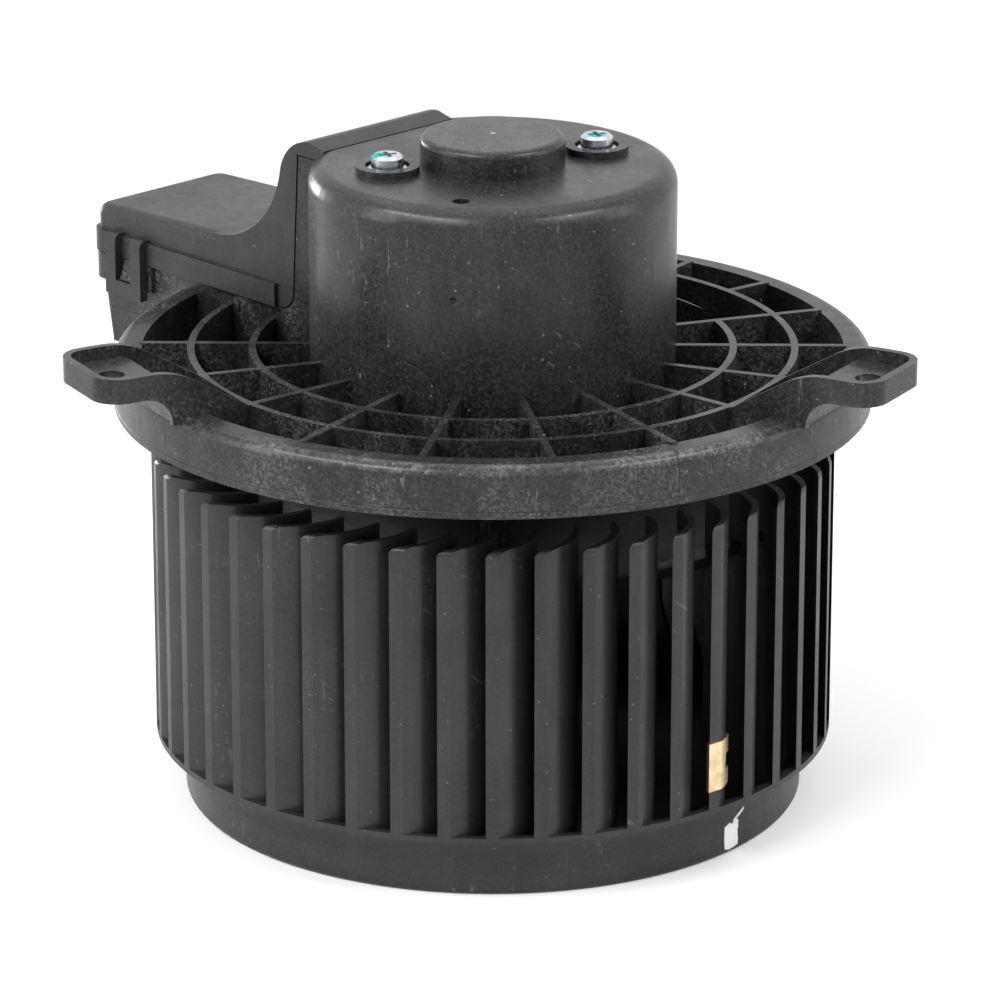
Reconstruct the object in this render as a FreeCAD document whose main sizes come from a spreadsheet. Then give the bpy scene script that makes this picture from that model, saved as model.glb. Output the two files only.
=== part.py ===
import FreeCAD, Part
import math
import os
import Sketcher

# Car cabin blower motor: a moulded carrier with three mounting ears holds a brushed motor
# under a dome, and the motor turns a forward-curved blower wheel below the flange.
# Frame: z = 0 is the underside of the ears, +Z runs up through the dome, the motor turns
# about the Z axis, and the electronics box points along +X.

doc = FreeCAD.newDocument("cabin_blower")

# Driving dimensions, in millimetres and degrees
sizes = {
    # blower wheel
    "wheel_radius": 75.0,
    "wheel_height": 80.0,
    "wheel_gap": 9.8,
    "blade_count": 46,
    "blade_start": 1.66,
    "blade_depth": 13.0,
    "blade_sweep": 9.9,
    "blade_tip_angle": 2.0,
    "blade_edge": 1.0,
    "blade_outer_curve": 13.6,
    "blade_inner_curve": 15.3,
    "blade_corner": 1.5,
    "blade_taper": 24.0,
    "rim_height": 15.6,
    "rim_lip": 1.3,
    "ring_radius": 68.6,
    "ring_wall": 1.8,
    "ring_edge": 1.2,
    "ring_bend": 0.7,
    "dish_drop": 11.0,
    "dish_wall": 2.2,
    "hub_radius": 9.5,
    "hub_length": 24.0,
    "hub_bottom": 27.0,
    "dish_edge": 4.0,
    "blade_foot": 6.0,
    "ring_straight": 9.0,
    # carrier flange
    "flange_depth": 16.4,
    "flange_radius": 82.8,
    "flange_height": 11.3,
    "flange_edge": 2.6,
    "band_width": 6.1,
    "floor_wall": 2.2,
    "rib_wall": 1.6,
    "rib_proud": 0.3,
    "outer_rib_radius": 66.7,
    "inner_rib_radius": 53.3,
    "rib_step": 20.0,
    "pocket_rib_step": 17.5,
    "gusset_height": 3.0,
    "gusset_reach": 53.0,
    # dome
    "dome_radius": 40.0,
    "dome_rise": 36.6,
    "dome_edge": 4.5,
    "dome_wall": 2.4,
    "dome_roof": 4.2,
    "skirt_drop": 6.0,
    "cap_radius": 15.7,
    "cap_rise": 6.1,
    "cap_edge": 1.6,
    "cap_wall": 2.6,
    "collar_radius": 6.95,
    "collar_bore": 4.8,
    "collar_rise": 1.5,
    "collar_place": 24.0,
    "collar_angle": 65.5,
    "vent_radius": 1.9,
    "vent_place": 31.8,
    "vent_angle": 123.7,
    # mounting ears
    "ear_circle": 92.0,
    "ear_angle": 75.0,
    "ear_reach": 99.6,
    "ear_half": 12.3,
    "ear_corner": 6.0,
    "ear_wall": 1.7,
    "ear_floor": 2.6,
    "ear_rim": 5.4,
    "ear_hole": 2.85,
    "ear_under": 6.3,
    "ear_lip": 0.9,
    "ear_slope": 31.0,
    "ear_bend": 19.0,
    "ear_crease": 84.0,
    "ear_root": 1.4,
    "ear_foot": 0.7,
    "ear_step": 3.6,
    # electronics box
    "box_front": 19.5,
    "box_back": 14.85,
    "box_end": 106.25,
    "box_wall": 2.0,
    "box_rim": 1.8,
    "box_drop": 7.3,
    "box_step": 82.0,
    "box_corner": 1.5,
    "box_draft": 6.0,
    "box_recess": 0.15,
    "socket_depth": 13.0,
    "socket_width": 19.0,
    "socket_height": 12.0,
    "seam_place": 40.9,
    "seam_lean": 1.8,
    "seam_gap": 0.3,
    "seam_corner": 4.0,
    "cover_wall": 2.0,
    "cover_fit": 0.15,
    "cover_low": 1.7,
    "cover_top": 10.6,
    "cover_fall": 1.5,
    "cover_edge": 2.4,
    "cover_high": 37.8,
    "cover_strip": 30.5,
    "strip_wall": 2.4,
    "strip_proud": 0.15,
    "neck_foot": 67.0,
    "neck_shoulder": 34.9,
    "neck_crown": 10.0,
    "band_start": 46.0,
    "band_height": 5.2,
    "band_proud": 1.0,
    "latch_start": 89.2,
    "latch_width": 12.0,
    "latch_bar": 3.5,
    "latch_rise": 0.7,
    "latch_drop": 8.3,
    "latch_thick": 2.0,
    "latch_bend": 1.6,
    "frame_start": 88.0,
    "frame_height": 6.1,
    "catch_width": 3.6,
    "catch_reach": 1.6,
    "catch_play": 0.3,
    "lead_gap": 14.0,
    "lead_low": 19.0,
    "lead_rise": 12.0,
    "socket_drop": 20.6,
    # screws, bushes and shaft
    "screw_radius": 2.0,
    "screw_fit": 0.2,
    "screw_length": 8.5,
    "screw_head": 3.5,
    "screw_edge": 0.6,
    "cross_width": 1.0,
    "cross_reach": 2.1,
    "cross_depth": 1.4,
    "screw_washer": 4.3,
    "screw_washer_wall": 0.9,
    "screw_rise": 2.9,
    "shaft_radius": 4.0,
    "shaft_flat": 0.8,
    "shaft_end": 2.3,
    "clip_radius": 8.0,
    "clip_wall": 0.8,
    "weight_width": 4.5,
    "weight_wall": 0.7,
    "weight_height": 11.0,
    "weight_low": 20.0,
    "weight_blade": 22,
    "weight_notch": 3.6,
    "running_fit": 0.03,
    "bush_wall": 3.4,
    "bush_height": 7.0,
    # motor
    "can_radius": 36.0,
    "can_wall": 1.8,
    "can_top": 26.8,
    "can_low": 28.2,
    "boss_radius": 9.4,
    "boss_drop": 6.8,
    "boss_play": 0.6,
    "plate_wall": 3.6,
    "plate_boss": 12.4,
    "plate_roof": 1.2,
    "plate_screw_boss": 5.0,
    "damper_height": 6.0,
    "damper_inset": 9.0,
    "washer_radius": 7.0,
    "washer_wall": 0.8,
    "washer_play": 0.1,
    "core_radius": 24.5,
    "core_top": 11.8,
    "core_low": 20.2,
    "slot_count": 12,
    "slot_reach": 12.0,
    "slot_half": 2.1,
    "slot_mouth": 0.9,
    "tooth_tip": 1.6,
    "air_gap": 0.8,
    "coil_rise": 5.5,
    "coil_outer": 22.7,
    "coil_play": 0.2,
    "magnet_angle": 128.0,
    "magnet_over": 2.2,
    "spring_wall": 1.0,
    "spring_height": 14.0,
    "spring_play": 1.0,
    "commutator_radius": 11.0,
    "commutator_height": 7.2,
    "commutator_low": 19.0,
    "commutator_slit": 1.5,
    "bar_gap": 0.7,
    "brush_width": 7.0,
    "brush_height": 5.0,
    "brush_length": 8.0,
    "brush_gap": 0.3,
    "tube_wall": 0.8,
    "tube_start": 1.6,
    "tube_length": 13.5,
    "lead_radius": 1.3,
    "lead_pitch": 7.0,
    "lead_bend": 3.0,
    # electronics
    "board_wall": 1.6,
    "board_drop": 2.8,
    "board_start": 41.6,
    "board_length": 47.5,
    "board_back": 9.0,
    "board_front": 16.5,
    "board_screw": 1.3,
    "board_screw_head": 2.3,
    "board_screw_rise": 1.5,
    "post_depth": 7.0,
    "post_radius": 2.3,
    "sink_start": 52.0,
    "sink_length": 22.0,
    "sink_width": 19.0,
    "sink_margin": 1.5,
    "sink_play": 0.3,
    "sink_wall": 3.0,
    "fin_count": 7,
    "fin_wall": 1.2,
    "fin_drop": 7.4,
    "chip_width": 10.0,
    "chip_length": 14.0,
    "chip_height": 4.4,
    "chip_pitch": 11.0,
    "chip_start": 53.0,
    "chip_back": 5.0,
    "leg_width": 0.8,
    "leg_pitch": 2.54,
    "leg_reach": 2.4,
    "capacitor_radius": 5.0,
    "capacitor_height": 10.0,
    "capacitor_place": 58.0,
    "capacitor_side": 9.0,
    "choke_radius": 6.5,
    "choke_bore": 3.0,
    "choke_height": 5.5,
    "choke_place": 70.0,
    "choke_side": 3.0,
    "pin_width": 1.5,
    "pin_wall": 0.8,
    "pin_pitch": 4.4,
    "pin_reach": 8.6,
}


class Size:
    """A number together with the spreadsheet expression that gives it."""

    def __init__(self, value, text):
        self.value = value
        self.text = text

    def join(self, other, sign, value):
        return Size(value, "(%s %s %s)" % (self.text, sign, as_size(other).text))

    def __add__(self, other):
        return self.join(other, "+", self.value + as_size(other).value)

    def __sub__(self, other):
        return self.join(other, "-", self.value - as_size(other).value)

    def __mul__(self, other):
        return self.join(other, "*", self.value * as_size(other).value)

    def __truediv__(self, other):
        return self.join(other, "/", self.value / as_size(other).value)

    def __radd__(self, other):
        return as_size(other) + self

    def __rsub__(self, other):
        return as_size(other) - self

    def __rmul__(self, other):
        return as_size(other) * self

    def __neg__(self):
        return as_size(0) - self


def as_size(item):
    return item if isinstance(item, Size) else Size(item, repr(item))


def cosine(angle):
    return Size(math.cos(math.radians(angle.value)), "cos(%s * 1 deg)" % angle.text)


def sine(angle):
    return Size(math.sin(math.radians(angle.value)), "sin(%s * 1 deg)" % angle.text)


def root(number):
    return Size(math.sqrt(number.value), "sqrt(%s)" % number.text)


class Dimensions:
    """The spreadsheet's cells by name, as numbers that know their expression."""


def make_sheet():
    sheet = doc.addObject("Spreadsheet::Sheet", "Sizes")
    named = Dimensions()
    for row, (name, value) in enumerate(sizes.items(), start=1):
        sheet.set("A%d" % row, name)
        sheet.set("B%d" % row, str(value))
        sheet.setAlias("B%d" % row, name)
        setattr(named, name, Size(value, "Sizes.%s" % name))
    doc.recompute()
    return named


d = make_sheet()


def bind(thing, path, size):
    """Gives a property its number and ties it to the spreadsheet."""
    size = as_size(size)
    if "." not in path and "[" not in path:
        setattr(thing, path, size.value)
    if "Sizes." in size.text:
        thing.setExpression(path, size.text)


def make_body(name):
    body = doc.addObject("PartDesign::Body", name)
    body.Label = name
    return body


def origin_plane(body, role):
    return next(item for item in body.Origin.OriginFeatures if item.Role == role)


def arc_through(start, end, radius):
    """Minor arc from start to end. A positive radius turns left, a negative one right."""
    chord = end - start
    half = chord.Length / 2
    rise = math.sqrt(max(radius * radius - half * half, 0))
    left = FreeCAD.Vector(-chord.y, chord.x, 0).normalize()
    centre = (start + end) * 0.5 + left * (rise if radius > 0 else -rise)
    circle = Part.Circle(centre, FreeCAD.Vector(0, 0, 1), abs(radius))
    first, last = (start, end) if radius > 0 else (end, start)
    return Part.ArcOfCircle(circle, circle.parameter(first), circle.parameter(last))


def fix_point(sketch, curve, point, axis, size):
    """Ties one coordinate of a sketch point to a size."""
    kind, line = ("DistanceX", -2) if axis == "x" else ("DistanceY", -1)
    if size.value == 0:
        sketch.addConstraint(Sketcher.Constraint("PointOnObject", curve, point, line))
        return
    number = sketch.addConstraint(Sketcher.Constraint(kind, -1, 1, curve, point, size.value))
    bind(sketch, "Constraints[%d]" % number, size)


def add_circle(sketch, x, y, radius):
    centre = FreeCAD.Vector(x.value, y.value, 0)
    circle = Part.Circle(centre, FreeCAD.Vector(0, 0, 1), radius.value)
    curve = sketch.addGeometry(circle, False)
    fix_point(sketch, curve, 3, "x", x)
    fix_point(sketch, curve, 3, "y", y)
    number = sketch.addConstraint(Sketcher.Constraint("Radius", curve, radius.value))
    bind(sketch, "Constraints[%d]" % number, radius)


def add_outline(sketch, corners):
    """Closed outline. A corner's third number is the radius of the arc to the next corner."""
    places = [(as_size(corner[0]), as_size(corner[1])) for corner in corners]
    points = [FreeCAD.Vector(x.value, y.value, 0) for x, y in places]
    curves = []
    for index, corner in enumerate(corners):
        start = points[index]
        end = points[(index + 1) % len(points)]
        if len(corner) == 3:
            radius = as_size(corner[2])
            curve = sketch.addGeometry(arc_through(start, end, radius.value), False)
            curves.append((curve, 1, 2) if radius.value > 0 else (curve, 2, 1))
        else:
            curve = sketch.addGeometry(Part.LineSegment(start, end), False)
            curves.append((curve, 1, 2))
    for index, (curve, first, last) in enumerate(curves):
        following = curves[(index + 1) % len(curves)]
        joint = Sketcher.Constraint("Coincident", curve, last, following[0], following[1])
        sketch.addConstraint(joint)
    for (curve, first, last), (x, y), corner in zip(curves, places, corners):
        fix_point(sketch, curve, first, "x", x)
        fix_point(sketch, curve, first, "y", y)
        if len(corner) == 3:
            radius = as_size(corner[2])
            size = radius if radius.value > 0 else -radius
            number = sketch.addConstraint(Sketcher.Constraint("Radius", curve, size.value))
            bind(sketch, "Constraints[%d]" % number, size)


def make_sketch(body, name, role, loops, lift=0, turn=0, out=0):
    """Sketch on an origin plane, lifted along its normal, turned about +Z and moved outwards."""
    sketch = body.newObject("Sketcher::SketchObject", name)
    sketch.AttachmentSupport = (origin_plane(body, role), "")
    sketch.MapMode = "FlatFace"
    lift = as_size(lift)
    turn = as_size(turn)
    axis = FreeCAD.Vector(0, 0, 1) if role == "XY_Plane" else FreeCAD.Vector(0, 1, 0)
    side = out * cosine(turn) if out else as_size(0)
    lift = lift - out * sine(turn) if out else lift
    place = FreeCAD.Vector(side.value, 0, lift.value)
    sketch.AttachmentOffset = FreeCAD.Placement(place, FreeCAD.Rotation(axis, turn.value))
    bind(sketch, "AttachmentOffset.Base.x", side)
    bind(sketch, "AttachmentOffset.Base.z", lift)
    bind(sketch, "AttachmentOffset.Rotation.Angle", turn)
    for loop in loops:
        if loop[0] == "circle":
            add_circle(sketch, *[as_size(item) for item in loop[1:]])
        else:
            add_outline(sketch, loop)
    return sketch


def pad(body, name, sketch, length, middle=False, back=False):
    feature = body.newObject("PartDesign::Pad", name)
    feature.Profile = sketch
    bind(feature, "Length", length)
    feature.Midplane = middle
    feature.Reversed = back
    return feature


def pocket(body, name, sketch, length, middle=False, back=False):
    feature = body.newObject("PartDesign::Pocket", name)
    feature.Profile = sketch
    bind(feature, "Length", length)
    feature.Midplane = middle
    feature.Reversed = back
    return feature


def turned(body, name, sketch, kind="Revolution", angle=360):
    feature = body.newObject("PartDesign::" + kind, name)
    feature.Profile = sketch
    feature.ReferenceAxis = (sketch, ["V_Axis"])
    bind(feature, "Angle", angle)
    return feature


def ring_pattern(body, name, features, count, angle=360):
    """Repeats features about the Z axis."""
    pattern = body.newObject("PartDesign::PolarPattern", name)
    pattern.Originals = features
    pattern.Axis = (origin_plane(body, "Z_Axis"), [""])
    bind(pattern, "Angle", angle)
    bind(pattern, "Occurrences", count)
    body.Tip = pattern
    return pattern


def row_pattern(body, name, features, role, length, count):
    """Repeats features along an axis of the body, from the first place to length away."""
    pattern = body.newObject("PartDesign::LinearPattern", name)
    pattern.Originals = features
    pattern.Direction = (origin_plane(body, role), [""])
    bind(pattern, "Length", length)
    bind(pattern, "Occurrences", count)
    body.Tip = pattern
    return pattern


def fillet(body, name, radius, wanted):
    """Rounds the edges of the body's tip for which wanted(edge) is true."""
    doc.recompute()
    base = body.Tip
    names = [
        "Edge%d" % number
        for number, edge in enumerate(base.Shape.Edges, start=1)
        if wanted(edge)
    ]
    feature = body.newObject("PartDesign::Fillet", name)
    feature.Base = (base, names)
    bind(feature, "Radius", radius)
    return feature


def box_outline(left, right, low, high):
    return [(left, low), (right, low), (right, high), (left, high)]


def turned_box(low, high, inner, outer):
    """Section of a ring: heights low to high, radii inner to outer."""
    return [(inner, low), (outer, low), (outer, high), (inner, high)]


# How far cutting outlines reach past what they cut, and pieces into what they join
clear = as_size(2)
join = as_size(0.5)

# Heights that several pieces share, all from the mounting face of the ears
flange_low = -d.flange_depth
band_top = flange_low + d.flange_height
rib_top = band_top + d.rib_proud
recess_floor = flange_low + d.floor_wall
rib_base = recess_floor - d.floor_wall / 2
dome_top = d.dome_rise
dome_ceiling = dome_top - d.dome_roof
cap_top = dome_top + d.cap_rise
band_inner = d.flange_radius - d.band_width
cavity_radius = d.dome_radius - d.dome_wall
wheel_top = flange_low - d.wheel_gap
wheel_low = wheel_top - d.wheel_height
strip_low = dome_top + d.strip_proud - d.strip_wall
cover_grow = d.cover_wall + d.cover_fit
band_face = d.box_front + cover_grow + d.band_proud
lip_low = -d.cover_low
latch_low = lip_low - d.latch_drop
window_low = latch_low + d.latch_bar
board_top = -d.board_drop
board_low = board_top - d.board_wall
board_end = d.board_start + d.board_length
box_middle = (d.box_front - d.box_back) / 2
box_low = flange_low - d.box_drop
socket_back = d.box_end - d.socket_depth
pin_middle = d.socket_height / 2 - d.socket_drop


def box_plan(start, grow):
    """Plan of the electronics box from a start, grown outwards on its three sides."""
    back = -d.box_back - grow
    end = d.box_end + grow
    front = d.box_front + grow
    corner = d.box_corner + grow
    return [
        (start, back),
        (end - corner, back, corner),
        (end, back + corner),
        (end, front - corner, corner),
        (end - corner, front),
        (start, front),
    ]


def add_radial_ribs(body, name, first, count, span, inner, outer):
    """Upright ribs in the flange's recess, spread over an angle from the first one."""
    half = d.rib_wall / 2
    plan = box_outline(inner, outer, -half, half)
    sketch = make_sketch(body, name + "_plan", "XY_Plane", [plan], rib_top, first)
    rib = pad(body, name, sketch, rib_top - rib_base, back=True)
    if count > 1:
        ring_pattern(body, name + "_set", [rib], count, span)


def add_ears(body):
    """Three raised trays that carry the mounting holes, on ramps that rise over the band."""
    turn = d.ear_angle
    start = d.outer_rib_radius - d.ear_root
    lower = -d.ear_under - join / 2
    tip_straight = d.ear_reach - d.ear_corner
    side = d.ear_half - d.ear_corner
    plan = [
        (start, -d.ear_half),
        (tip_straight, -d.ear_half, d.ear_corner),
        (d.ear_reach, -side),
        (d.ear_reach, side, d.ear_corner),
        (tip_straight, d.ear_half),
        (start, d.ear_half),
    ]
    block_plan = make_sketch(body, "ear_plan", "XY_Plane", [plan], d.ear_rim, turn)
    block = pad(body, "ear_block", block_plan, d.ear_rim - lower, back=True)
    root_plan = box_outline(start, band_inner + join, -d.ear_half, d.ear_half)
    root_top = lower + join / 4
    root_sketch = make_sketch(body, "ear_root_plan", "XY_Plane", [root_plan], root_top, turn)
    roots = pad(body, "ear_roots", root_sketch, root_top - rib_base, back=True)

    bend_low = d.ear_rim - d.ear_bend * (1 - cosine(d.ear_slope))
    foot = d.outer_rib_radius - d.ear_foot
    slope_end = foot + (bend_low - rib_top) * cosine(d.ear_slope) / sine(d.ear_slope)
    level_start = slope_end + d.ear_bend * sine(d.ear_slope)
    over = d.ear_rim + clear
    ramp = [
        (foot - clear, rib_top),
        (foot, rib_top),
        (slope_end, bend_low, -d.ear_bend),
        (level_start, d.ear_rim),
        (level_start, over),
        (foot - clear, over),
    ]
    ramp_sketch = make_sketch(body, "ear_ramp_side", "XZ_Plane", [ramp], 0, turn)
    ramp_cut = pocket(body, "ear_ramp", ramp_sketch, 2 * d.ear_half + clear, middle=True)

    lip = d.flange_radius + d.ear_lip
    under = [
        (lip, -d.ear_under, -d.ear_under),
        (lip + d.ear_under, 0),
        (d.ear_reach + clear, 0),
        (d.ear_reach + clear, lower - clear),
        (lip, lower - clear),
    ]
    under_sketch = make_sketch(body, "ear_under_side", "XZ_Plane", [under], 0, turn)
    under_cut = pocket(body, "ear_underside", under_sketch, 2 * d.ear_half + clear, middle=True)

    inner_width = 2 * (d.ear_half - d.ear_wall)
    inner_curve = d.ear_under + d.ear_lip
    hollow = [
        (d.flange_radius, -inner_curve, -inner_curve),
        (d.flange_radius + inner_curve, 0),
        (d.flange_radius + inner_curve, lower - clear),
        (d.flange_radius, lower - clear),
    ]
    hollow_sketch = make_sketch(body, "ear_hollow_side", "XZ_Plane", [hollow], 0, turn)
    hollow_cut = pocket(body, "ear_hollow", hollow_sketch, inner_width, middle=True)

    tray = [
        (d.outer_rib_radius, recess_floor),
        (band_inner, recess_floor),
        (band_inner, band_top),
        (d.ear_crease - d.ear_step, band_top),
        (d.ear_crease, d.ear_floor),
        (d.ear_crease + join, d.ear_floor),
        (d.ear_crease + join, over),
        (d.outer_rib_radius, over),
    ]
    tray_sketch = make_sketch(body, "ear_tray_side", "XZ_Plane", [tray], 0, turn)
    tray_cut = pocket(body, "ear_tray", tray_sketch, inner_width, middle=True)

    corner = d.ear_corner - d.ear_wall
    inner_half = d.ear_half - d.ear_wall
    inner_tip = d.ear_reach - d.ear_wall
    pan = [
        (d.ear_crease, -inner_half),
        (inner_tip - corner, -inner_half, corner),
        (inner_tip, corner - inner_half),
        (inner_tip, inner_half - corner, corner),
        (inner_tip - corner, inner_half),
        (d.ear_crease, inner_half),
    ]
    pan_sketch = make_sketch(body, "ear_pan_plan", "XY_Plane", [pan], d.ear_rim, turn)
    pan_cut = pocket(body, "ear_pan", pan_sketch, d.ear_rim - d.ear_floor)

    hole = ("circle", d.ear_circle, 0, d.ear_hole)
    hole_sketch = make_sketch(body, "ear_hole_plan", "XY_Plane", [hole], d.ear_floor, turn)
    hole_cut = pocket(body, "ear_hole", hole_sketch, d.ear_floor + clear)
    steps = [block, roots, ramp_cut, under_cut, hollow_cut, tray_cut, pan_cut, hole_cut]
    ring_pattern(body, "ears", steps, 3)


def add_dome_details(body):
    """Two screw collars, the screw holes and the vent hole in the dome's top."""
    place = d.collar_place
    turn = d.collar_angle
    top = dome_top + d.collar_rise
    collar = ("circle", place, 0, d.collar_radius)
    collar_sketch = make_sketch(body, "collar_plan", "XY_Plane", [collar], top, turn)
    rise = pad(body, "collar", collar_sketch, d.collar_rise + join, back=True)
    bore = ("circle", place, 0, d.collar_bore)
    bore_sketch = make_sketch(body, "collar_bore_plan", "XY_Plane", [bore], top, turn)
    recess = pocket(body, "collar_bore", bore_sketch, d.collar_rise)
    shank = ("circle", place, 0, d.screw_radius + d.screw_fit)
    shank_sketch = make_sketch(body, "screw_hole_plan", "XY_Plane", [shank], top, turn)
    through = pocket(body, "screw_hole", shank_sketch, d.collar_rise + d.dome_roof + clear)
    ring_pattern(body, "collars", [rise, recess, through], 2)
    vent = ("circle", d.vent_place, 0, d.vent_radius)
    vent_sketch = make_sketch(body, "vent_plan", "XY_Plane", [vent], top, d.vent_angle)
    pocket(body, "vent", vent_sketch, d.collar_rise + d.dome_roof + clear)


def add_box(body):
    """Open box for the electronics, with its shoulder against the dome and its socket."""
    rim = d.box_rim
    top = lip_low - d.seam_gap
    inside = d.cover_strip
    rim_plan = make_sketch(body, "rim_plan", "XY_Plane", [box_plan(inside, as_size(0))], rim)
    pad(body, "rim", rim_plan, rim - top + join, back=True)
    grow = cover_grow - d.box_recess
    for name, start, low in (("box", inside, flange_low), ("box_end", d.box_step, box_low)):
        plan = make_sketch(body, name + "_plan", "XY_Plane", [box_plan(start, grow)], top)
        walls = pad(body, name + "_walls", plan, top - low, back=True)
        bind(walls, "TaperAngle", -d.box_draft)
    frame_grow = cover_grow + d.band_proud - d.seam_gap
    frame = make_sketch(body, "frame_plan", "XY_Plane", [box_plan(d.frame_start, frame_grow)], top)
    pad(body, "frame", frame, d.frame_height, back=True)

    gap = d.seam_gap
    corner = d.seam_corner + gap
    seam = d.seam_place - gap
    shoulder = [
        (inside, flange_low),
        (seam + corner, flange_low),
        (seam + corner, top, -corner),
        (seam, top + corner),
        (seam - d.seam_lean, strip_low - gap),
        (inside, strip_low - gap),
    ]
    front = d.box_front + grow
    shoulder_side = make_sketch(body, "shoulder_side", "XZ_Plane", [shoulder], -front)
    pad(body, "shoulder", shoulder_side, front + d.box_back + grow)

    low = window_low + d.catch_play
    face = band_face - d.seam_gap
    catch = [
        (face - d.band_proud, low),
        (face + d.catch_reach, low),
        (face, top),
        (face - d.band_proud, top),
    ]
    middle = d.latch_start + d.latch_width / 2
    catch_side = make_sketch(body, "catch_side", "YZ_Plane", [catch], middle)
    pad(body, "catch", catch_side, d.catch_width, middle=True)

    cavity = ("circle", 0, 0, cavity_radius)
    cavity_plan = make_sketch(body, "cavity_plan", "XY_Plane", [cavity], dome_ceiling)
    pocket(body, "cavity", cavity_plan, dome_ceiling - flange_low + d.skirt_drop + clear)

    inner = box_outline(
        d.seam_place,
        socket_back - d.box_wall,
        d.box_wall - d.box_back,
        d.box_front - d.box_wall,
    )
    inner_plan = make_sketch(body, "board_space_plan", "XY_Plane", [inner], rim)
    pocket(body, "board_space", inner_plan, rim - recess_floor)
    well = box_outline(
        d.box_step + 2 * d.box_wall,
        socket_back - d.box_wall,
        d.box_wall - d.box_back,
        d.box_front - d.box_wall,
    )
    well_plan = make_sketch(body, "well_plan", "XY_Plane", [well], rim)
    pocket(body, "well", well_plan, rim - box_low - d.floor_wall)

    half = d.socket_width / 2
    socket_top = d.socket_height - d.socket_drop
    socket = box_outline(box_middle - half, box_middle + half, -d.socket_drop, socket_top)
    mouth = d.box_end + cover_grow
    socket_face = make_sketch(body, "socket_face", "YZ_Plane", [socket], mouth)
    pocket(body, "socket", socket_face, mouth - socket_back)

    channel = box_outline(
        -d.lead_gap / 2,
        d.lead_gap / 2,
        d.lead_low,
        d.lead_low + d.lead_rise,
    )
    channel_face = make_sketch(body, "lead_face", "YZ_Plane", [channel], d.seam_place)
    pocket(body, "lead_channel", channel_face, d.seam_place - cavity_radius + d.dome_wall)

    fit = d.cover_fit
    strip = box_outline(
        d.cover_strip - fit,
        d.seam_place,
        -d.box_back - cover_grow - fit,
        d.box_front + cover_grow + fit,
    )
    strip_plan = make_sketch(body, "strip_plan", "XY_Plane", [strip], dome_top)
    pocket(body, "strip_seat", strip_plan, dome_top - strip_low + gap)


def post_places():
    """Plan places of the four posts under the control board."""
    inset = d.post_radius
    left = d.board_start + inset
    right = d.box_step
    back = inset - d.board_back
    front = d.board_front - inset
    return [(left, back), (right, back), (right, front), (left, front)]


def pin_sides():
    """Places across the box of the four connector pins, from the back."""
    return [box_middle + d.pin_pitch * (number - 1.5) for number in range(4)]


def add_box_fittings(body):
    """Board posts, the window for the heat sink and the slots for the connector pins."""
    posts = [("circle", x, y, d.post_radius) for x, y in post_places()]
    post_plan = make_sketch(body, "post_plan", "XY_Plane", posts, board_low)
    pad(body, "posts", post_plan, board_low - rib_base, back=True)
    holes = [("circle", x, y, d.board_screw) for x, y in post_places()[1::2]]
    hole_plan = make_sketch(body, "post_hole_plan", "XY_Plane", holes, board_low)
    pocket(body, "post_holes", hole_plan, d.post_depth)
    half = d.sink_width / 2
    sink_end = d.sink_start + d.sink_length
    window = box_outline(d.sink_start, sink_end, box_middle - half, box_middle + half)
    window_plan = make_sketch(body, "sink_window_plan", "XY_Plane", [window], recess_floor)
    pocket(body, "sink_window", window_plan, d.floor_wall)
    thick = d.pin_wall / 2
    wide = d.pin_width / 2
    slots = [
        box_outline(side - wide, side + wide, pin_middle - thick, pin_middle + thick)
        for side in pin_sides()
    ]
    slot_face = make_sketch(body, "pin_slot_face", "YZ_Plane", slots, socket_back)
    pocket(body, "pin_slots", slot_face, d.box_wall)


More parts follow.
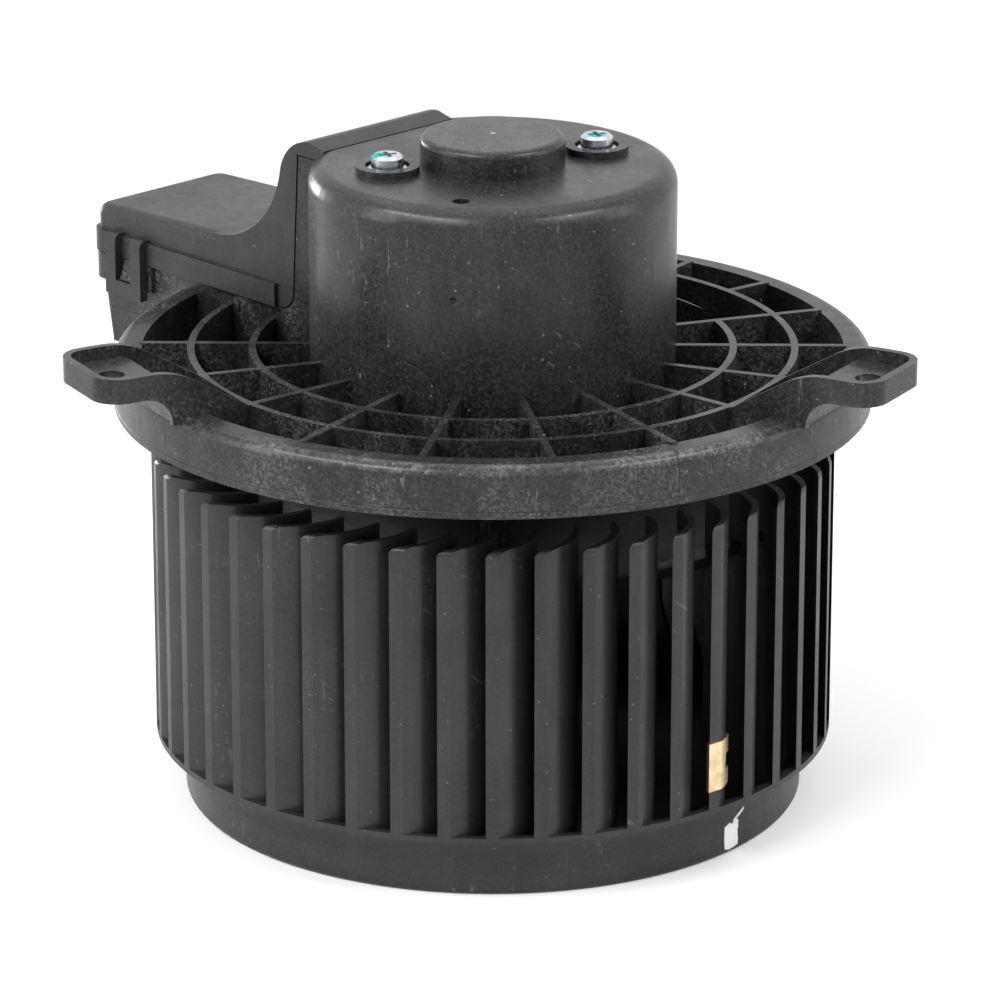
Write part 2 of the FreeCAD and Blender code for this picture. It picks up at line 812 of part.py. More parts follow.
def make_carrier():
    body = make_body("motor_carrier")
    edge = d.flange_edge
    skirt_low = flange_low - d.skirt_drop
    profile = [
        (cavity_radius, skirt_low),
        (d.dome_radius, skirt_low),
        (d.dome_radius, flange_low),
        (d.flange_radius, flange_low),
        (d.flange_radius, band_top - edge, edge),
        (d.flange_radius - edge, band_top),
        (band_inner, band_top),
        (band_inner, recess_floor),
        (d.dome_radius, recess_floor),
        (d.dome_radius, dome_top - d.dome_edge, d.dome_edge),
        (d.dome_radius - d.dome_edge, dome_top),
        (d.cap_radius, dome_top),
        (d.cap_radius, cap_top - d.cap_edge, d.cap_edge),
        (d.cap_radius - d.cap_edge, cap_top),
        (0, cap_top),
        (0, cap_top - d.cap_wall),
        (d.cap_radius - d.cap_wall, cap_top - d.cap_wall),
        (d.cap_radius - d.cap_wall, dome_ceiling),
        (cavity_radius, dome_ceiling),
    ]
    turned(body, "dome_and_flange", make_sketch(body, "section", "XZ_Plane", [profile]))
    rings = [
        turned_box(rib_base, rib_top, radius - d.rib_wall, radius)
        for radius in (d.inner_rib_radius, d.outer_rib_radius)
    ]
    turned(body, "round_ribs", make_sketch(body, "rib_section", "XZ_Plane", rings))

    # The inner round rib stops at one side, where the recess is one deep pocket
    pocket_first = d.ear_angle + 8.5 * d.rib_step
    pocket_last = pocket_first + 2 * d.pocket_rib_step
    near = d.inner_rib_radius - d.rib_wall - clear
    far = d.inner_rib_radius + clear
    wedge = [
        (near * cosine(pocket_first), near * sine(pocket_first)),
        (far * cosine(pocket_first), far * sine(pocket_first)),
        (far * cosine(pocket_last), far * sine(pocket_last)),
        (near * cosine(pocket_last), near * sine(pocket_last)),
    ]
    wedge_plan = make_sketch(body, "rib_gap_plan", "XY_Plane", [wedge], rib_top)
    pocket(body, "rib_gap", wedge_plan, rib_top - recess_floor)

    root = d.dome_radius - join
    band = band_inner + join
    rib = d.outer_rib_radius - d.rib_wall / 2
    step = d.rib_step
    ear = d.ear_angle
    add_radial_ribs(body, "front_ribs", ear + 1.5 * step, 4, 3 * step, root, band)
    add_radial_ribs(body, "right_ribs", ear + 7.5 * step, 2, step, root, band)
    add_radial_ribs(body, "left_rib", ear - 1.5 * step, 1, 0, root, band)
    add_radial_ribs(body, "pocket_rib", pocket_first + d.pocket_rib_step, 1, 0, rib, band)
    add_radial_ribs(body, "ear_ribs_before", ear - step / 2, 3, 360, root, rib)
    add_radial_ribs(body, "ear_ribs_after", ear + step / 2, 3, 360, root, rib)
    gusset = [
        (root, rib_base),
        (band, rib_base),
        (band, rib_top),
        (d.gusset_reach + d.gusset_height, rib_top),
        (d.gusset_reach, d.gusset_height),
        (root, d.gusset_height),
    ]
    gusset_side = make_sketch(body, "gusset_side", "XZ_Plane", [gusset], 0, pocket_last)
    pad(body, "gusset", gusset_side, d.rib_wall, middle=True)
    add_ears(body)
    add_box(body)
    add_box_fittings(body)
    add_dome_details(body)
    return body


def make_turned(name, loops):
    """A piece turned about the Z axis, given by its section."""
    body = make_body(name)
    turned(body, name + "_turn", make_sketch(body, name + "_section", "XZ_Plane", loops))
    return body


def neck_curve(wall):
    """Radii and joint of the neck's two arcs, offset inwards by a wall."""
    rise = d.cover_high - d.cover_top
    reach = d.neck_foot - d.neck_shoulder
    span = (reach * reach + rise * rise) / (2 * rise)
    sweep = span - d.neck_crown
    crown_height = d.cover_high - d.neck_crown
    sweep_height = d.cover_top + sweep
    crown = d.neck_crown - wall
    share = crown / span
    joint = (
        d.neck_shoulder + reach * share,
        crown_height + (sweep_height - crown_height) * share,
    )
    return sweep + wall, crown, joint, crown_height, sweep_height


def add_latch(body):
    """Hooked latch: two bars from the lid's face over the band, joined below the catch."""
    bar = d.latch_bar
    top = lip_low + d.band_height + d.latch_rise
    face = band_face + d.latch_thick
    back = band_face - d.cover_fit
    lid_face = d.box_front + cover_grow
    hook_low = top - d.latch_rise - d.cover_wall / 2
    hook = [
        (back, latch_low),
        (face, latch_low),
        (face, top - d.latch_bend, d.latch_bend),
        (face - d.latch_bend, top),
        (lid_face - d.cover_wall / 2, top),
        (lid_face - d.cover_wall / 2, hook_low),
        (back, hook_low),
    ]
    first = d.latch_start
    side = make_sketch(body, "latch_bar_side", "YZ_Plane", [hook], first)
    strut = pad(body, "latch_bar", side, bar)
    row_pattern(body, "latch_bars", [strut], "X_Axis", d.latch_width - bar, 2)
    link = box_outline(first + bar / 2, first + d.latch_width - bar / 2, latch_low, window_low)
    link_side = make_sketch(body, "latch_link_side", "XZ_Plane", [link], -face)
    pad(body, "latch_link", link_side, face - back)


def make_cover():
    body = make_body("electronics_cover")
    low = lip_low
    grow = cover_grow
    start = d.neck_foot - 2 * d.cover_edge
    end = d.box_end + grow
    plan = make_sketch(body, "lid_plan", "XY_Plane", [box_plan(start, grow)], d.cover_top)
    pad(body, "lid", plan, d.cover_top - low, back=True)
    fall = [(d.neck_foot, d.cover_top), (end, d.cover_top - d.cover_fall), (end, d.cover_top)]
    front = d.box_front + grow
    back = d.box_back + grow
    fall_side = make_sketch(body, "lid_fall_side", "XZ_Plane", [fall], -front)
    pocket(body, "lid_fall", fall_side, front + back, back=True)
    edge_low = d.cover_top.value - d.cover_fall.value - 0.01
    fillet(
        body,
        "lid_edges",
        d.cover_edge,
        lambda edge: edge.BoundBox.ZMin > edge_low
        and edge.BoundBox.XMax > start.value + 0.01
        and edge.BoundBox.YLength + edge.BoundBox.ZLength < front.value
        or edge.BoundBox.XMin > end.value - 0.01
        and edge.BoundBox.ZMin > edge_low,
    )
    band_plan = make_sketch(
        body, "band_plan", "XY_Plane", [box_plan(d.band_start, grow + d.band_proud)], low
    )
    pad(body, "band", band_plan, d.band_height)

    seam = d.seam_place
    corner = d.seam_corner
    sweep, crown, joint, crown_height, sweep_height = neck_curve(as_size(0))
    side = [
        (seam + corner, low),
        (d.neck_foot, low),
        (d.neck_foot, d.cover_top, -sweep),
        (joint[0], joint[1], crown),
        (d.neck_shoulder, d.cover_high),
        (d.cover_strip, dome_top + d.strip_proud),
        (d.cover_strip, strip_low),
        (seam - d.seam_lean, strip_low),
        (seam, low + corner, corner),
    ]
    side_sketch = make_sketch(body, "neck_side", "XZ_Plane", [side], -front)
    pad(body, "neck", side_sketch, front + back)
    add_latch(body)

    fit = d.cover_fit
    lid_sketch = make_sketch(
        body, "lid_hollow_plan", "XY_Plane", [box_plan(d.neck_shoulder, fit)], low
    )
    roof = d.cover_top - d.cover_fall - d.cover_wall
    pocket(body, "lid_hollow", lid_sketch, roof - low, back=True)
    wall = d.cover_wall
    sweep, crown, joint, crown_height, sweep_height = neck_curve(wall)
    foot = d.neck_foot - wall
    edge = seam - d.seam_lean - d.neck_shoulder
    crown_end = (seam - d.seam_lean, crown_height + root(crown * crown - edge * edge))
    hollow = [
        (seam - d.seam_lean, low),
        (foot, low),
        (foot, sweep_height - root(sweep * sweep - wall * wall), -sweep),
        (joint[0], joint[1], crown),
        crown_end,
    ]
    hollow_sketch = make_sketch(body, "neck_hollow_side", "XZ_Plane", [hollow], -d.box_front - fit)
    pocket(body, "neck_hollow", hollow_sketch, d.box_front + d.box_back + 2 * fit, back=True)
    return body


# Heights inside the motor, from the mounting face
hub_low = wheel_low + d.hub_bottom
hub_top = hub_low + d.hub_length
shaft_low = hub_low - d.shaft_end
plate_low = d.can_top
plate_top = plate_low + d.plate_wall
bush_radius = d.shaft_radius + d.running_fit
bush_outer = d.shaft_radius + d.bush_wall
lower_bush_low = -d.can_low - d.boss_drop + d.can_wall
shaft_top = plate_top + d.bush_height - 2 * d.running_fit
magnet_inner = d.core_radius + d.air_gap
can_inner = d.can_radius - d.can_wall
brush_middle = plate_low - d.tube_wall - d.brush_height / 2


def make_can():
    low = -d.can_low
    boss_low = low - d.boss_drop
    hole = d.shaft_radius + d.boss_play
    section = [
        (hole, boss_low),
        (d.boss_radius, boss_low),
        (d.boss_radius, low),
        (d.can_radius, low),
        (d.can_radius, d.can_top),
        (can_inner, d.can_top),
        (can_inner, low + d.can_wall),
        (bush_outer, low + d.can_wall),
        (bush_outer, lower_bush_low),
        (hole, lower_bush_low),
    ]
    return make_turned("motor_can", [section])


def make_end_plate():
    """Closes the can, holds the upper bush in its boss and takes the two case screws."""
    seat_top = plate_top + d.bush_height
    roof = seat_top + d.plate_roof
    section = [
        (bush_outer, plate_low),
        (d.can_radius, plate_low),
        (d.can_radius, plate_top),
        (d.plate_boss, plate_top),
        (d.plate_boss, roof),
        (0, roof),
        (0, seat_top),
        (bush_outer, seat_top),
    ]
    body = make_turned("brush_end_plate", [section])
    boss = ("circle", d.collar_place, 0, d.plate_screw_boss)
    turn = d.collar_angle
    plan = make_sketch(body, "screw_boss_plan", "XY_Plane", [boss], dome_ceiling, turn)
    rise = pad(body, "screw_boss", plan, dome_ceiling - plate_low, back=True)
    hole = ("circle", d.collar_place, 0, d.screw_radius)
    hole_plan = make_sketch(body, "screw_hole_plan", "XY_Plane", [hole], dome_ceiling, turn)
    cut = pocket(body, "screw_hole", hole_plan, dome_ceiling - plate_low + clear)
    ring_pattern(body, "screw_bosses", [rise, cut], 2)
    return body


def make_bushes():
    upper = turned_box(plate_top, plate_top + d.bush_height, bush_radius, bush_outer)
    lower = turned_box(lower_bush_low, lower_bush_low + d.bush_height, bush_radius, bush_outer)
    return [make_turned("upper_bush", [upper]), make_turned("lower_bush", [lower])]


def make_dampers():
    """Rubber rings between the can and the wall of the dome."""
    pieces = []
    skirt_low = flange_low - d.skirt_drop
    upper_low = d.can_top - d.damper_inset - d.damper_height
    for name, low in (("upper_damper", upper_low), ("lower_damper", skirt_low)):
        ring = turned_box(low, low + d.damper_height, d.can_radius, cavity_radius)
        pieces.append(make_turned(name, [ring]))
    return pieces


def make_arc_pair(name, section, angle, first):
    """Two equal arc-shaped pieces opposite each other inside the can."""
    body = make_body(name)
    body.AllowCompound = True
    sketch = make_sketch(body, name + "_section", "XZ_Plane", [section], 0, first)
    piece = turned(body, name + "_arc", sketch, "Revolution", angle)
    ring_pattern(body, name + "_pair", [piece], 2)
    return body


def make_magnets():
    low = -d.core_low - d.magnet_over
    high = d.core_top + d.magnet_over
    magnet = turned_box(low, high, magnet_inner, can_inner)
    magnets = make_arc_pair("field_magnets", magnet, d.magnet_angle, -d.magnet_angle / 2)
    middle = (low + high) / 2
    half = d.spring_height / 2
    spring = turned_box(middle - half, middle + half, can_inner - d.spring_wall, can_inner)
    spring_angle = 180 - d.magnet_angle - d.spring_play
    springs = make_arc_pair(
        "magnet_springs", spring, spring_angle, (d.magnet_angle + d.spring_play) / 2
    )
    return [magnets, springs]


def make_brushes():
    """Two carbon brushes in their tubes under the end plate, either side of the commutator."""
    low = brush_middle - d.brush_height / 2
    high = brush_middle + d.brush_height / 2
    start = d.commutator_radius + d.brush_gap
    half = d.brush_width / 2
    brushes = make_body("carbon_brushes")
    brushes.AllowCompound = True
    plan = box_outline(-half, half, start, start + d.brush_length)
    sketch = make_sketch(brushes, "brush_plan", "XY_Plane", [plan], low)
    brush = pad(brushes, "brush", sketch, high - low)
    ring_pattern(brushes, "brush_pair", [brush], 2)

    tubes = make_body("brush_tubes")
    tubes.AllowCompound = True
    wall = d.tube_wall
    face = [
        box_outline(-half - wall, half + wall, low - wall, high + wall),
        box_outline(-half, half, low, high),
    ]
    tube_start = d.commutator_radius + d.tube_start
    face_sketch = make_sketch(tubes, "tube_face", "XZ_Plane", face, -tube_start - d.tube_length)
    tube = pad(tubes, "tube", face_sketch, d.tube_length)
    ring_pattern(tubes, "tube_pair", [tube], 2)
    return [brushes, tubes]


def make_leads():
    """Two wires from the end plate, through the dome's wall and down to the control board."""
    body = make_body("motor_leads")
    body.AllowCompound = True
    half = d.lead_pitch / 2
    slant = cosine(as_size(45))
    start_x = d.can_radius + d.lead_radius * slant
    start_z = plate_low + d.lead_radius * (1 - slant)
    drop_x = d.board_start + d.lead_radius
    turn_z = start_z - (drop_x - start_x)
    setback = d.lead_bend * (1 - slant) / slant
    path = body.newObject("Sketcher::SketchObject", "lead_path")
    path.AttachmentSupport = (origin_plane(body, "XZ_Plane"), "")
    path.MapMode = "FlatFace"
    place = FreeCAD.Vector(0, 0, -half.value)
    path.AttachmentOffset = FreeCAD.Placement(place, FreeCAD.Rotation())
    bind(path, "AttachmentOffset.Base.z", -half)
    corners = [
        (drop_x, board_top),
        (drop_x, turn_z - setback),
        (drop_x - setback * slant, turn_z + setback * slant),
        (start_x, start_z),
    ]
    points = [FreeCAD.Vector(x.value, z.value, 0) for x, z in corners]
    path.addGeometry(Part.LineSegment(points[0], points[1]), False)
    path.addGeometry(arc_through(points[1], points[2], d.lead_bend.value), False)
    path.addGeometry(Part.LineSegment(points[2], points[3]), False)
    path.addConstraint(Sketcher.Constraint("Coincident", 0, 2, 1, 1))
    path.addConstraint(Sketcher.Constraint("Coincident", 1, 2, 2, 1))
    for curve, point, corner in ((0, 1, 0), (0, 2, 1), (1, 2, 2), (2, 2, 3)):
        fix_point(path, curve, point, "x", corners[corner][0])
        fix_point(path, curve, point, "y", corners[corner][1])
    number = path.addConstraint(Sketcher.Constraint("Radius", 1, d.lead_bend.value))
    bind(path, "Constraints[%d]" % number, d.lead_bend)
    wire = ("circle", drop_x, half, d.lead_radius)
    profile = make_sketch(body, "lead_section", "XY_Plane", [wire], board_top)
    pipe = body.newObject("PartDesign::AdditivePipe", "lead")
    pipe.Profile = profile
    pipe.Spine = path
    mirrored = body.newObject("PartDesign::Mirrored", "lead_pair")
    mirrored.Originals = [pipe]
    mirrored.MirrorPlane = (origin_plane(body, "XZ_Plane"), [""])
    body.Tip = mirrored
    return body


def make_shaft():
    section = turned_box(shaft_low, shaft_top, as_size(0), d.shaft_radius)
    body = make_turned("motor_shaft", [section])
    side = d.shaft_radius + clear
    flat = box_outline(d.shaft_radius - d.shaft_flat, side, -side, side)
    sketch = make_sketch(body, "flat_plan", "XY_Plane", [flat], hub_top)
    pocket(body, "flat", sketch, hub_top - shaft_low + clear)
    return body


def make_core():
    """Slotted core of the armature, with a narrow mouth to each slot."""
    body = make_turned(
        "armature_core",
        [turned_box(-d.core_low, d.core_top, d.shaft_radius, d.core_radius)],
    )
    tip = d.core_radius - d.tooth_tip
    slot = [
        (d.slot_reach, -d.slot_half),
        (tip, -d.slot_half),
        (tip, -d.slot_mouth),
        (d.core_radius + clear, -d.slot_mouth),
        (d.core_radius + clear, d.slot_mouth),
        (tip, d.slot_mouth),
        (tip, d.slot_half),
        (d.slot_reach, d.slot_half),
    ]
    sketch = make_sketch(body, "slot_plan", "XY_Plane", [slot], d.core_top)
    cut = pocket(body, "slot", sketch, d.core_top + d.core_low)
    ring_pattern(body, "slots", [cut], d.slot_count)
    return body


def make_windings():
    """Copper coils: filled slots joined by a ring of wire above and below the core."""
    top = d.core_top + d.coil_rise
    low = -d.core_low - d.coil_rise
    inner = d.slot_reach + d.coil_play
    rings = [
        turned_box(d.core_top, top, inner, d.coil_outer),
        turned_box(low, -d.core_low, inner, d.coil_outer),
    ]
    body = make_body("armature_windings")
    body.AllowCompound = True
    turned(body, "coil_ends", make_sketch(body, "coil_section", "XZ_Plane", rings))
    half = d.slot_half - d.coil_play
    bar = box_outline(inner + join, d.coil_outer - d.coil_play, -half, half)
    sketch = make_sketch(body, "slot_coil_plan", "XY_Plane", [bar], d.core_top + join)
    coil = pad(body, "slot_coil", sketch, d.core_top + d.core_low + 2 * join, back=True)
    ring_pattern(body, "slot_coils", [coil], d.slot_count)
    return body


def make_commutator():
    low = d.commutator_low
    high = low + d.commutator_height
    body = make_turned("commutator", [turned_box(low, high, d.shaft_radius, d.commutator_radius)])
    half = d.bar_gap / 2
    slit_inner = d.commutator_radius - d.commutator_slit
    slit = box_outline(slit_inner, d.commutator_radius + clear, -half, half)
    sketch = make_sketch(body, "slit_plan", "XY_Plane", [slit], high)
    cut = pocket(body, "slit", sketch, d.commutator_height)
    ring_pattern(body, "slits", [cut], d.slot_count)
    return body


def make_thrust_washers():
    wall = d.washer_wall
    upper = plate_top - d.washer_play - wall
    lower = lower_bush_low + d.bush_height + d.washer_play
    inner = d.shaft_radius
    rings = [turned_box(low, low + wall, inner, d.washer_radius) for low in (lower, upper)]
    body = make_body("thrust_washers")
    body.AllowCompound = True
    turned(body, "washers", make_sketch(body, "washer_section", "XZ_Plane", rings))
    return body


def make_wheel():
    """Blower wheel: a dish on the hub carries the curved blades, and a ring ties their ends."""
    body = make_body("blower_wheel")
    radius = d.wheel_radius
    depth = radius - d.blade_depth
    dish_top = wheel_top - d.dish_drop
    dish_outer = depth + d.dish_edge
    dish = [
        (d.shaft_radius, hub_low),
        (d.hub_radius, hub_low),
        (d.hub_radius, hub_top - d.dish_wall),
        (depth, dish_top - d.dish_wall),
        (dish_outer, dish_top - d.dish_wall),
        (dish_outer, dish_top),
        (depth, dish_top),
        (d.hub_radius, hub_top),
        (d.shaft_radius, hub_top),
    ]
    turned(body, "dish", make_sketch(body, "dish_section", "XZ_Plane", [dish]))

    tip = d.blade_tip_angle
    sweep = d.blade_sweep
    inner_x = depth * cosine(sweep)
    inner_y = depth * sine(sweep)
    blade = [
        (radius, 0),
        (radius * cosine(tip), radius * sine(tip), d.blade_outer_curve),
        (inner_x, inner_y),
        (inner_x, inner_y - d.blade_edge, -d.blade_inner_curve),
    ]
    blade_low = wheel_low + d.blade_foot
    plan = make_sketch(body, "blade_plan", "XY_Plane", [blade], blade_low, d.blade_start)
    first = pad(body, "blade", plan, wheel_top - blade_low)
    ring_pattern(body, "blades", [first], d.blade_count)

    # Ends of the blades: rounded at the top, seated in the ring and cut back inside it
    ring = d.ring_radius
    lip_top = wheel_low + d.rim_height
    lip_low = lip_top - d.rim_lip
    straight = wheel_low + d.ring_straight
    across = radius - ring
    rise = lip_low - straight
    curve = (across * across + rise * rise) / (2 * across)
    centre = ring + curve

    def on_curve(share, inset):
        """Radius and height of a point some way up the ring's curve, set inwards from it."""
        height = rise * share
        sweep_radius = curve + inset
        return centre - root(sweep_radius * sweep_radius - height * height), straight + height

    over = radius + clear
    corner = d.blade_corner
    seat_wall = d.ring_wall / 2
    seat = [
        (ring - seat_wall, blade_low - clear),
        (over, blade_low - clear),
        (over, lip_low),
        (radius - seat_wall, lip_low),
        on_curve(d.ring_bend, seat_wall),
        (ring - seat_wall, straight),
    ]
    taper = [
        (depth - clear, wheel_low + d.blade_taper),
        (depth, wheel_low + d.blade_taper),
        (ring - d.ring_wall, blade_low),
        (ring - d.ring_wall, blade_low - clear),
        (depth - clear, blade_low - clear),
    ]
    round_top = [
        (radius - corner, wheel_top, -corner),
        (radius, wheel_top - corner),
        (over, wheel_top - corner),
        (over, wheel_top + clear),
        (radius - corner, wheel_top + clear),
    ]
    for name, outline in (("seat", seat), ("taper", taper), ("round_top", round_top)):
        section = make_sketch(body, name + "_section", "XZ_Plane", [outline])
        turned(body, "blade_" + name, section, "Groove")

    edge = d.ring_edge
    ring_section = [
        (ring - d.ring_wall, wheel_low),
        (ring - edge, wheel_low, edge),
        (ring, wheel_low + edge),
        (ring, straight, -curve),
        (radius, lip_low),
        (radius, lip_top),
        (radius - d.ring_wall, lip_top),
        on_curve(d.ring_bend, d.ring_wall),
        (ring - d.ring_wall, straight),
    ]
    turned(body, "ring", make_sketch(body, "ring_section", "XZ_Plane", [ring_section]))
    side = d.shaft_radius + join
    key = box_outline(d.shaft_radius - d.shaft_flat, side, -side, side)
    key_plan = make_sketch(body, "key_plan", "XY_Plane", [key], hub_top)
    pad(body, "key", key_plan, d.hub_length, back=True)
    return body


def make_board():
    wide = d.pin_width / 2
    pin_start = board_end - 2 * d.pin_wall
    pin_end = board_end - d.pin_wall
    loops = [box_outline(d.board_start, board_end, -d.board_back, d.board_front)]
    loops += [box_outline(pin_start, pin_end, side - wide, side + wide) for side in pin_sides()]
    loops += [("circle", x, y, d.board_screw) for x, y in post_places()[1::2]]
    body = make_body("control_board")
    plan = make_sketch(body, "board_plan", "XY_Plane", loops, board_top)
    pad(body, "board", plan, d.board_wall, back=True)
    return body


def make_board_screws():
    body = make_body("board_screws")
    body.AllowCompound = True
    heads = [("circle", x, y, d.board_screw_head) for x, y in post_places()[1::2]]
    head_plan = make_sketch(body, "head_plan", "XY_Plane", heads, board_top)
    pad(body, "heads", head_plan, d.board_screw_rise)
    shanks = [("circle", x, y, d.board_screw) for x, y in post_places()[1::2]]
    top = board_top + d.board_screw_rise / 2
    shank_plan = make_sketch(body, "shank_plan", "XY_Plane", shanks, top)
    length = top - board_low + d.post_depth - d.board_screw
    pad(body, "shanks", shank_plan, length, back=True)
    return body


def make_pins():
    body = make_body("connector_pins")
    body.AllowCompound = True
    start = board_end - 2 * d.pin_wall
    thick = d.pin_wall / 2
    pin = [
        (start, pin_middle - thick),
        (socket_back + d.pin_reach, pin_middle - thick),
        (socket_back + d.pin_reach, pin_middle + thick),
        (start + d.pin_wall, pin_middle + thick),
        (start + d.pin_wall, board_top + d.pin_wall),
        (start, board_top + d.pin_wall),
    ]
    first = pin_sides()[0] + d.pin_width / 2
    side = make_sketch(body, "pin_side", "XZ_Plane", [pin], -first)
    blade = pad(body, "pin", side, d.pin_width)
    row_pattern(body, "pins", [blade], "Y_Axis", 3 * d.pin_pitch, 4)
    return body


def make_heat_sink():
    body = make_body("heat_sink")
    margin = d.sink_margin
    play = d.sink_play
    half = d.sink_width / 2
    end = d.sink_start + d.sink_length
    near = box_middle - half
    far = box_middle + half
    plate = box_outline(d.sink_start - margin, end + margin, near - margin, far + margin)
    plate_plan = make_sketch(body, "plate_plan", "XY_Plane", [plate], recess_floor)
    pad(body, "plate", plate_plan, d.sink_wall)
    first = near + play
    fin = box_outline(d.sink_start + play, end - play, first, first + d.fin_wall)
    fin_plan = make_sketch(body, "fin_plan", "XY_Plane", [fin], recess_floor + d.sink_wall / 2)
    blade = pad(body, "fin", fin_plan, d.sink_wall / 2 + d.fin_drop, back=True)
    spread = d.sink_width - d.fin_wall - 2 * play
    row_pattern(body, "fins", [blade], "Y_Axis", spread, d.fin_count)
    return body


def make_transistors():
    """Two power transistors on the heat sink, their legs up to the control board."""
    body = make_body("power_transistors")
    body.AllowCompound = True
    low = recess_floor + d.sink_wall
    end = d.chip_length - d.chip_back
    case = box_outline(d.chip_start, d.chip_start + d.chip_width, -d.chip_back, end)
    case_plan = make_sketch(body, "case_plan", "XY_Plane", [case], low)
    block = pad(body, "case", case_plan, d.chip_height)
    thick = d.leg_width
    middle = low + d.chip_height / 2
    leg = [
        (end - thick, middle),
        (end + d.leg_reach, middle),
        (end + d.leg_reach, board_low),
        (end + d.leg_reach - thick, board_low),
        (end + d.leg_reach - thick, middle + thick),
        (end - thick, middle + thick),
    ]
    steps = [block]
    for number in range(3):
        place = d.chip_start + d.chip_width / 2 + d.leg_pitch * (number - 1)
        name = "leg_%d" % (number + 1)
        face = make_sketch(body, name + "_face", "YZ_Plane", [leg], place)
        steps.append(pad(body, name, face, thick, middle=True))
    row_pattern(body, "chips", steps, "X_Axis", d.chip_pitch, 2)
    return body


def make_round_part(name, place, side, radii, height):
    """An upright round component on the control board."""
    body = make_body(name)
    loops = [("circle", place, side, radius) for radius in radii]
    plan = make_sketch(body, name + "_plan", "XY_Plane", loops, board_top)
    pad(body, name + "_body", plan, height)
    return body


def make_board_parts():
    capacitor = make_round_part(
        "filter_capacitor",
        d.capacitor_place,
        d.capacitor_side,
        [d.capacitor_radius],
        d.capacitor_height,
    )
    choke = make_round_part(
        "choke_coil",
        d.choke_place,
        d.choke_side,
        [d.choke_radius, d.choke_bore],
        d.choke_height,
    )
    return [capacitor, choke]


def make_case_screws():
    """Two pan-head screws down through the dome's top into the end plate, with their washers."""
    turn = d.collar_angle
    place = d.collar_place
    washer_top = dome_top + d.screw_washer_wall
    washers = make_body("screw_washers")
    washers.AllowCompound = True
    rings = [("circle", place, 0, d.screw_washer), ("circle", place, 0, d.screw_radius)]
    ring_plan = make_sketch(washers, "washer_plan", "XY_Plane", rings, dome_top, turn)
    washer = pad(washers, "washer", ring_plan, d.screw_washer_wall)
    ring_pattern(washers, "washer_pair", [washer], 2)

    screws = make_body("case_screws")
    screws.AllowCompound = True
    top = washer_top + d.screw_rise
    section = [
        (0, washer_top - d.screw_length),
        (d.screw_radius, washer_top - d.screw_length),
        (d.screw_radius, washer_top),
        (d.screw_head, washer_top),
        (d.screw_head, top - d.screw_edge),
        (d.screw_head - d.screw_edge, top),
        (0, top),
    ]
    screw_section = make_sketch(screws, "screw_section", "XZ_Plane", [section], 0, turn, place)
    screw = turned(screws, "screw", screw_section)
    near = place - d.cross_reach
    far = place + d.cross_reach
    half = d.cross_width / 2
    cross = [
        (near, -half),
        (place - half, -half),
        (place - half, -d.cross_reach),
        (place + half, -d.cross_reach),
        (place + half, -half),
        (far, -half),
        (far, half),
        (place + half, half),
        (place + half, d.cross_reach),
        (place - half, d.cross_reach),
        (place - half, half),
        (near, half),
    ]
    cross_plan = make_sketch(screws, "cross_plan", "XY_Plane", [cross], top, turn)
    recess = pocket(screws, "cross_recess", cross_plan, d.cross_depth)
    ring_pattern(screws, "screw_pair", [screw, recess], 2)
    return [washers, screws]


def make_wheel_clip():
    ring = turned_box(hub_low - d.clip_wall, hub_low, d.shaft_radius, d.clip_radius)
    return make_turned("wheel_clip", [ring])


def arc_centre(start, end, radius):
    """Centre of the minor arc from start to end that turns left."""
    chord_x = end[0] - start[0]
    chord_y = end[1] - start[1]
    chord = root(chord_x * chord_x + chord_y * chord_y)
    rise = root(radius * radius - chord * chord / 4)
    return (
        (start[0] + end[0]) / 2 - chord_y / chord * rise,
        (start[1] + end[1]) / 2 + chord_x / chord * rise,
    )


def along_arc(point, centre, angle, stretch):
    """The point turned about a centre, and moved away from it by a factor."""
    x = point[0] - centre[0]
    y = point[1] - centre[1]
    return (
        centre[0] + (x * cosine(angle) - y * sine(angle)) * stretch,
        centre[1] + (x * sine(angle) + y * cosine(angle)) * stretch,
    )


